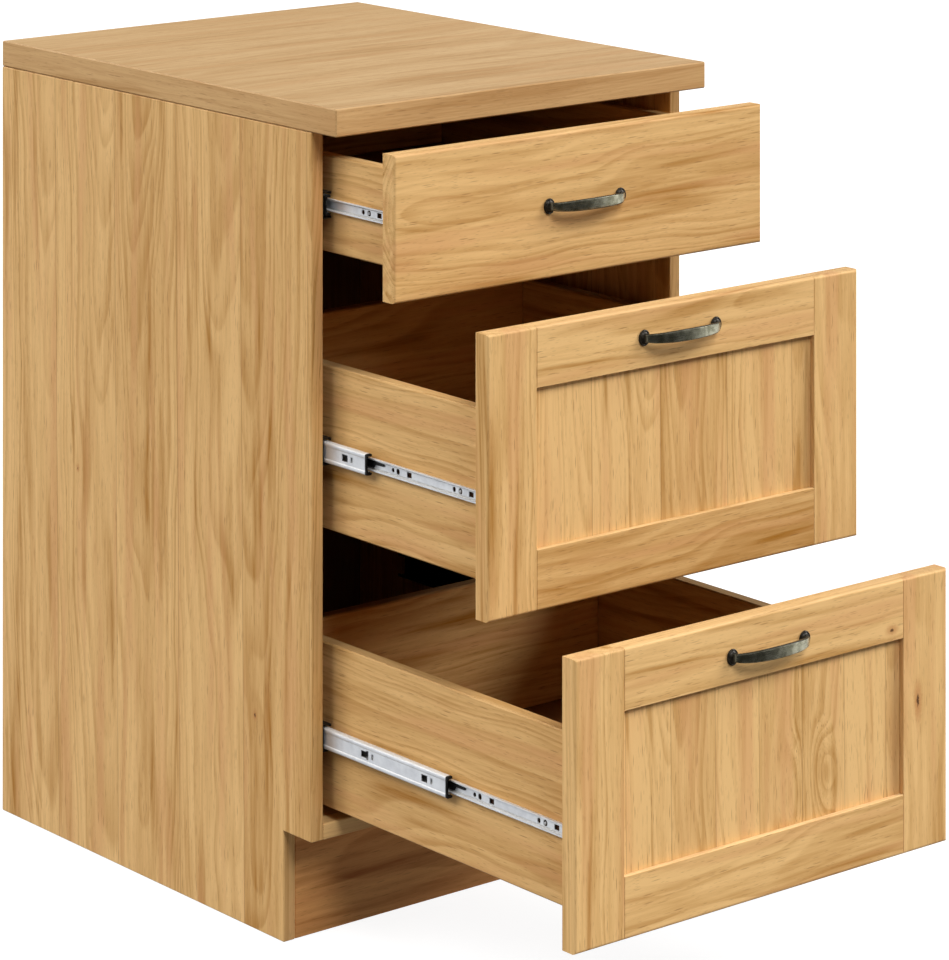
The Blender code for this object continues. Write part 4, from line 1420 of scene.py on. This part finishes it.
@dataclass
class SlideFittings:
    """The small parts on one slide: the cap on the middle rail, the lever, the strip of painted shade and
    the screw.

    Args:
        number: the drawer's number.
        side: the cabinet's side that the slide is on.
        sign: -1 for the left side and 1 for the right.
        painted_shade_strip_depth: how far the painted shade strip's middle lies from the cabinet's side.
        screw_depth: how far the screw's seat does.
        screw_head: the radius and height of the screw's head.
    """

    number: int
    side: str
    sign: float
    painted_shade_strip_depth: float = 0.01284
    screw_depth: float = 0.0107
    screw_head: tuple[float, float] = (0.0013, 0.0010)

    def name(self, part: str) -> str:
        """A part's full name."""
        return f"drawer_{self.number}_{self.side}_{part}"

    def rings(self, across: np.ndarray, along: np.ndarray, rise: np.ndarray, rail: str) -> np.ndarray:
        """Rings of points that are placed by one of the slide's rails.

        Args:
            across: distances from the cabinet's side.
            along: distances behind the rail's front end.
            rise: heights above the rail's middle.
            rail: the rail's part name.

        Returns:
            The points, as rings by points by three.
        """
        low, high = span(self.name(rail))
        rings = np.stack(np.broadcast_arrays(-self.sign * across, along, rise), axis=-1)
        return rings + (inner_wall(self.side), low[1], (low[2] + high[2]) / 2)

    def claw(self) -> bpy.types.Object:
        """The black cap on the middle rail's front end.

        A C-shaped outline runs from just behind the rail's own end to a front edge that
        stands further out towards its top and bottom, where it ends in two prongs.

        Returns:
            The piece.
        """
        share = np.array([0.0, 0.0, 0.15, 0.85, 1.0])[:, None]
        inset = np.array([0.94, 1.0, 1.0, 1.0, 0.94])[:, None]
        centre, back, front = 0.0054, 0.0009, -0.0008
        prong_starts, prong_grows, prong_length = 0.0055, 0.0025, 0.0013
        prong = np.clip((np.abs(CLAW[:, 1]) - prong_starts) / prong_grows, 0.0, 1.0)
        edge = front - prong_length * prong
        rings = self.rings(centre + (CLAW[:, 0] - centre) * inset, back + share * (edge - back),
                           CLAW[:, 1] * inset, "middle_rail")
        return carried(self.name("slide_cap"), rings, 35.0)

    def lever(self) -> bpy.types.Object:
        """The release lever, which tapers from the cap to a thin tip above the rail's middle.

        Half its height and the height of its middle line are smooth functions of the distance
        from the tip, and its section is a rounded oblong.

        Returns:
            The piece.
        """
        node = self.name("release_lever")
        low, high = span(node)
        shoulder, shoulder_run, nose_run, blunted = 0.46, 0.12, 0.05, 0.25
        slender, taper, stout, raised = 0.0013, 0.0003, 0.0020, 0.0019
        share = np.linspace(0.0, 1.0, 41)
        grow = np.clip((share - shoulder) / shoulder_run, 0.0, 1.0)
        grow = grow ** 2 * (3.0 - 2.0 * grow)
        nose = np.sqrt(np.clip(1.0 - (1.0 - np.clip(share / nose_run, 0.0, 1.0)) ** 2, 0.0, 1.0))
        half = (slender + taper * share + stout * grow) * np.maximum(nose, blunted)
        lift = raised * (1.0 - grow)
        thin, tall = blunt(np.linspace(0.0, 2.0 * math.pi, 20, endpoint=False), 0.4)
        centre, reach = (low + high) / 2, high - low
        rings = np.empty((len(share), len(thin), 3))
        rings[..., 0] = centre[0] + thin * reach[0] / 2
        rings[..., 1] = (low[1] + reach[1] * share)[:, None]
        rings[..., 2] = centre[2] + lift[:, None] + half[:, None] * tall
        return carried(node + "_arm", rings, 50.0)

    def painted_shade_strip(self) -> bpy.types.Object:
        """The thin dark strip between the inner rail's web and the box: painted shade, which shows in the
        rail's windows.

        A rounded oblong carried along the rail, with its two end sections drawn in a little.

        Returns:
            The piece.
        """
        low, high = span(self.name("inner_rail"))
        thin, tall = blunt(np.linspace(0.0, 2.0 * math.pi, 24, endpoint=False), 0.35)
        length, thickness, height = high[1] - low[1], 0.00007, 0.0044
        along = np.array([0.0020, 0.0024, length - 0.0024, length - 0.0020])[:, None]
        inset = np.array([0.92, 1.0, 1.0, 0.92])[:, None]
        rings = self.rings(self.painted_shade_strip_depth + thickness * thin * inset, along, height * tall * inset,
                           "inner_rail")
        return carried(self.name("rail_felt"), rings, 50.0)

    def screw(self) -> bpy.types.Object:
        """The pan head of the screw in the inner rail's upright slot."""
        place = self.rings(self.screw_depth, INNER_WINDOWS[1].behind, 0.0, "inner_rail")
        return turned(self.name("rail_screw"), PAN_HEAD * self.screw_head, place, self.sign, 28, axis=0)


# ---------------------------------------------------------------- the cabinet


SIDES = (("left", -1.0), ("right", 1.0))


@dataclass
class Carcass:
    """The cabinet's fixed boards.

    Args:
        finisher: what dresses them.
        cuts: what each board is made of and how it was cut.
    """

    finisher: Finisher
    cuts: dict[str, tuple[Wood, Cut]] = field(default_factory=lambda: {
        "worktop": (OAK, Cut(Lie.FLAT_ACROSS, heart=(0.05, 0.30), slant=(0.2, 0.5), banded=True,
                             face=WORKTOP_TOP_PAINTED_SHADE)),
        "left_side_panel": (PINE, Cut(Lie.SIDE_UPRIGHT, heart=(0.03, 0.07), staves=0.112, shift=0.03,
                                      tone=0.08, face=DARKEST_TOP_PAINTED_SHADE,
                                      knots=(Knot((-0.25, 0.3574, 0.4066), 0.0016),
                                             Knot((-0.25, 0.0395, 0.2176), 0.0020)))),
        # The right panel's lighter tone is painted light on its front edge, which the drawer fronts shade.
        "right_side_panel": (PINE, Cut(Lie.SIDE_UPRIGHT, heart=(-0.05, 0.08), staves=0.105, tone=-0.05,
                                       face=DARKEST_TOP_PAINTED_SHADE)),
        # The bottom panel's lighter tone is painted light on its front edge, which the lowest drawer's box
        # shades.
        "bottom_panel": (PINE, Cut(Lie.FLAT_ACROSS, heart=(0.03, 0.12), tone=-0.2, staves=0.11)),
        # The plinth's redder, darker pine and its tone are painted shade with a warm painted bounce.
        "plinth_board": (PINE_PAINTED_WARM_SHADE, Cut(Lie.FRONT_LEVEL, heart=(0.01, 0.11), tone=0.08)),
        "front_top_rail": (PINE, Cut(Lie.FLAT_ACROSS, heart=(0.02, 0.08), tone=0.1)),
        "rear_top_rail": (PINE, Cut(Lie.FLAT_ACROSS, heart=(0.01, 0.10), tone=0.1)),
        "back_panel": (PLY, Cut(Lie.FRONT_UPRIGHT, heart=(0.04, 0.20), slant=(0.3, 1.0))),
    })

    def build(self) -> None:
        """Dresses every fixed board."""
        for node, (wood, cut) in self.cuts.items():
            self.finisher.dress_board(node, wood, cut)


@dataclass
class Drawer:
    """One drawer: its box, its front, its handle and its pair of slides.

    Args:
        number: 1 for the top drawer.
        finisher: what dresses its pieces.
        framed: whether its front is a frame round a panel, or one board.
        cuts: what each of its boards is made of and how it was cut.
        groove: how deep the frame's grooves are, and how long its tongues.
        crisp, full: the round-overs of an inner and of an outer edge.
        screw_head: the radius and height of the heads inside the front.
        cap: how much of a middle rail's front end its cap takes up.
    """

    number: int
    finisher: Finisher
    framed: bool
    cuts: dict[str, tuple[Wood, Cut]]
    groove: float = 0.0080
    crisp: float = 0.0006
    full: float = 0.0030
    screw_head: tuple[float, float] = (0.0040, 0.0020)
    cap: float = 0.0010

    @property
    def body(self) -> str:
        """The body that the box and its front are on."""
        return f"drawer_{self.number}"

    def name(self, part: str) -> str:
        """A part's full name."""
        return f"{self.body}_{part}"

    def settle(self, piece: bpy.types.Object, body: str, slot: str, *nodes: str,
               wears: bpy.types.Material | None = None) -> None:
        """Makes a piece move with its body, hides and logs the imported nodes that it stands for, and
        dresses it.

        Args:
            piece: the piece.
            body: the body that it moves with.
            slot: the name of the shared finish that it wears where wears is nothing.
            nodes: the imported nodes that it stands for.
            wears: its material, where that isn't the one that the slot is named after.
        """
        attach(piece, body)
        if nodes:
            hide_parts(*nodes)
        LOG.info("%s moves with %s and stands for %s", piece.name, body, ", ".join(nodes) or "itself")
        self.finisher.dress(piece, wears or self.finisher.shared(slot))

    def make_box(self) -> None:
        """Dresses the box's boards."""
        for part in ("left_side", "right_side", "back", "bottom"):
            self.finisher.dress_board(self.name(part), *self.cuts[part])

    def make_front(self) -> None:
        """Builds the front's boards with their round-overs, in the timber of those they stand for."""
        crisp, full, groove = self.crisp, self.full, self.groove
        boards = {"front": (Along.LEVEL, (full, full, full, full))}
        if self.framed:
            boards = {
                "left_stile": (Along.UPRIGHT, (full, crisp, full, full), (0.0, groove)),
                "right_stile": (Along.UPRIGHT, (crisp, full, full, full), (groove, 0.0)),
                "top_rail": (Along.LEVEL, (crisp, full, crisp, crisp), (groove, 0.0), groove),
                "bottom_rail": (Along.LEVEL, (full, crisp, crisp, crisp), (0.0, groove), groove)}
            self.finisher.dress_board(self.name("front_panel"), *self.cuts["front_panel"])
        for part, sizes in boards.items():
            board = FrontBoard(self.name(part), *sizes)
            piece = board.build()
            timber = self.finisher.board(piece.name, *self.cuts[part], sum(span(board.node)) / 2)
            self.settle(piece, self.body, "oiled_pine", board.node, wears=timber)

    def make_handle(self) -> None:
        """Builds the strap and its feet, and the heads of the screws that hold them."""
        handle = StrapHandle(self.name("handle"))
        self.settle(handle.strap(), self.body, "burnished_bronze", handle.node)
        inside = span(self.name("top_rail" if self.framed else "front"))[1][1]
        for side, sign in SIDES:
            self.settle(handle.foot(side, sign), self.body, "burnished_bronze",
                        wears=self.finisher.shared("bronze_patina"))
            place = sum(span(handle.node)) / 2
            place[:2] = place[0] + sign * handle.spacing / 2, inside
            head = turned(self.name(f"handle_{side}_screw"), PAN_HEAD * self.screw_head, place, 1.0, 28)
            self.settle(head, self.body, "zinc_steel")

    def make_slides(self) -> None:
        """Builds both slides' moving rails and their fittings."""
        travelling = self.name("slides")
        for side, sign in SIDES:
            fittings = SlideFittings(self.number, side, sign)
            outer, inner, lever = map(fittings.name, ("outer_rail", "inner_rail", "release_lever"))
            middle = fittings.name("middle_rail")
            # The outer rails wear zinc darkened to painted shade.
            self.finisher.dress(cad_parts[outer], self.finisher.shared("zinc_painted_shade"))
            sheet = SheetRail(middle, side, sign, MIDDLE_LINE, MIDDLE_WINDOWS, self.cap)
            self.settle(sheet.build(), travelling, "zinc_steel", middle)
            sheet = SheetRail(inner, side, sign, INNER_LINE, INNER_WINDOWS)
            self.settle(sheet.build(), self.body, "zinc_steel", inner)
            self.settle(fittings.claw(), travelling, "black_plastic")
            self.settle(fittings.lever(), self.body, "black_plastic", lever)
            self.settle(fittings.screw(), self.body, "zinc_steel")
            # A dark strip of painted shade, seen through the inner rail's windows.
            self.settle(fittings.painted_shade_strip(), self.body, "black_plastic",
                        wears=self.finisher.shared("brown_painted_shade_strip"))

    def build(self) -> None:
        """Builds and dresses the whole drawer."""
        self.make_box()
        self.make_front()
        self.make_handle()
        self.make_slides()


def box_cuts(turn: float, tone: float) -> dict[str, tuple[Wood, Cut]]:
    """How the four boards of a drawer box were cut.

    Args:
        turn: moves each board to its own place in the log.
        tone: how much darker the left side is.

    Returns:
        Each part's wood and cut.
    """
    heart = (0.02 + turn, 0.08)
    return {
        "left_side": (PINE, Cut(Lie.SIDE_LEVEL, heart, tone=tone, face=DARKEST_TOP_PAINTED_SHADE)),
        # The right side's and the back's darker tone is painted shade for the inside of the box.
        "right_side": (PINE, Cut(Lie.SIDE_LEVEL, (0.01 - turn, -0.09), tone=0.3, face=DARKEST_TOP_PAINTED_SHADE)),
        "back": (PINE, Cut(Lie.FRONT_LEVEL, heart, tone=0.3, face=DARKEST_TOP_PAINTED_SHADE)),
        "bottom": (PLY, Cut(Lie.FLAT_DEEP, (0.02 + turn, 0.18))),
    }


def front_cuts(turn: float, tone: float) -> dict[str, tuple[Wood, Cut]]:
    """How the boards of a framed front were cut.

    Args:
        turn: moves each board to its own place in the log.
        tone: how much darker the front is.

    Returns:
        Each part's wood and cut.
    """
    return {
        "left_stile": (PINE, Cut(Lie.FRONT_UPRIGHT, (0.03 + turn, 0.08), tone=tone, face=SHADE)),
        "right_stile": (PINE, Cut(Lie.FRONT_UPRIGHT, (-0.02 + turn, 0.07), tone=tone, face=SHADE)),
        "top_rail": (PINE, Cut(Lie.FRONT_LEVEL, (0.02 + turn, 0.09), tone=tone - 0.12, face=SHADE)),
        "bottom_rail": (PINE, Cut(Lie.FRONT_LEVEL, (-0.02 + turn, 0.06), tone=tone, face=LEDGE_PAINTED_HIGHLIGHT)),
        "front_panel": (PINE, Cut(Lie.FRONT_UPRIGHT, (0.02 + turn, 0.05), tone=tone + 0.04, staves=0.09,
                                  stave_tone=0.26)),
    }


def lowest_front() -> dict[str, tuple[Wood, Cut]]:
    """The lowest front's own boards: a knotty stile and top rail, and a panel with ovals.

    Returns:
        Each part's wood and cut.
    """
    swells = (Swell((0.0745, -0.445, 0.210), (0.036, 0.070), 0.021),
              Swell((0.0490, -0.445, 0.200), (0.040, 0.085), -0.022))
    return {
        "right_stile": (PINE, Cut(Lie.FRONT_UPRIGHT, (-0.003, 0.07), tone=-0.05, face=SHADE,
                                  knots=(Knot((0.2058, -0.4499, 0.2619), 0.0030, 0.26),))),
        "top_rail": (PINE, Cut(Lie.FRONT_LEVEL, (0.037, 0.09), tone=-0.12, face=SHADE,
                               knots=(Knot((0.1693, -0.4499, 0.3382), 0.0030),))),
        "front_panel": (PINE, Cut(Lie.FRONT_UPRIGHT, (0.037, 0.05), tone=-0.06, staves=0.0575,
                                  shift=0.084, stave_tone=0.26, swells=swells)),
    }


def main() -> None:
    """Builds the cabinet's look in order and reports each piece."""
    logging.basicConfig(level=logging.INFO, format="%(name)s: %(message)s")
    finisher = Finisher()
    Studio().build()
    Carcass(finisher).build()
    slab = {"front": (PINE, Cut(Lie.FRONT_LEVEL, (0.015, 0.06), tone=0.04, face=SHADE))}
    dark_rail = {"bottom_rail": (PINE, Cut(Lie.FRONT_LEVEL, (-0.02, 0.06), tone=0.40, face=LEDGE_PAINTED_HIGHLIGHT))}
    Drawer(1, finisher, False, box_cuts(0.0, -0.05) | slab).build()
    Drawer(2, finisher, True, box_cuts(0.011, 0.08) | front_cuts(0.0, 0.0) | dark_rail).build()
    Drawer(3, finisher, True, box_cuts(0.023, 0.2) | front_cuts(0.017, -0.05) | lowest_front()).build()


if __name__ == "__main__":
    main()
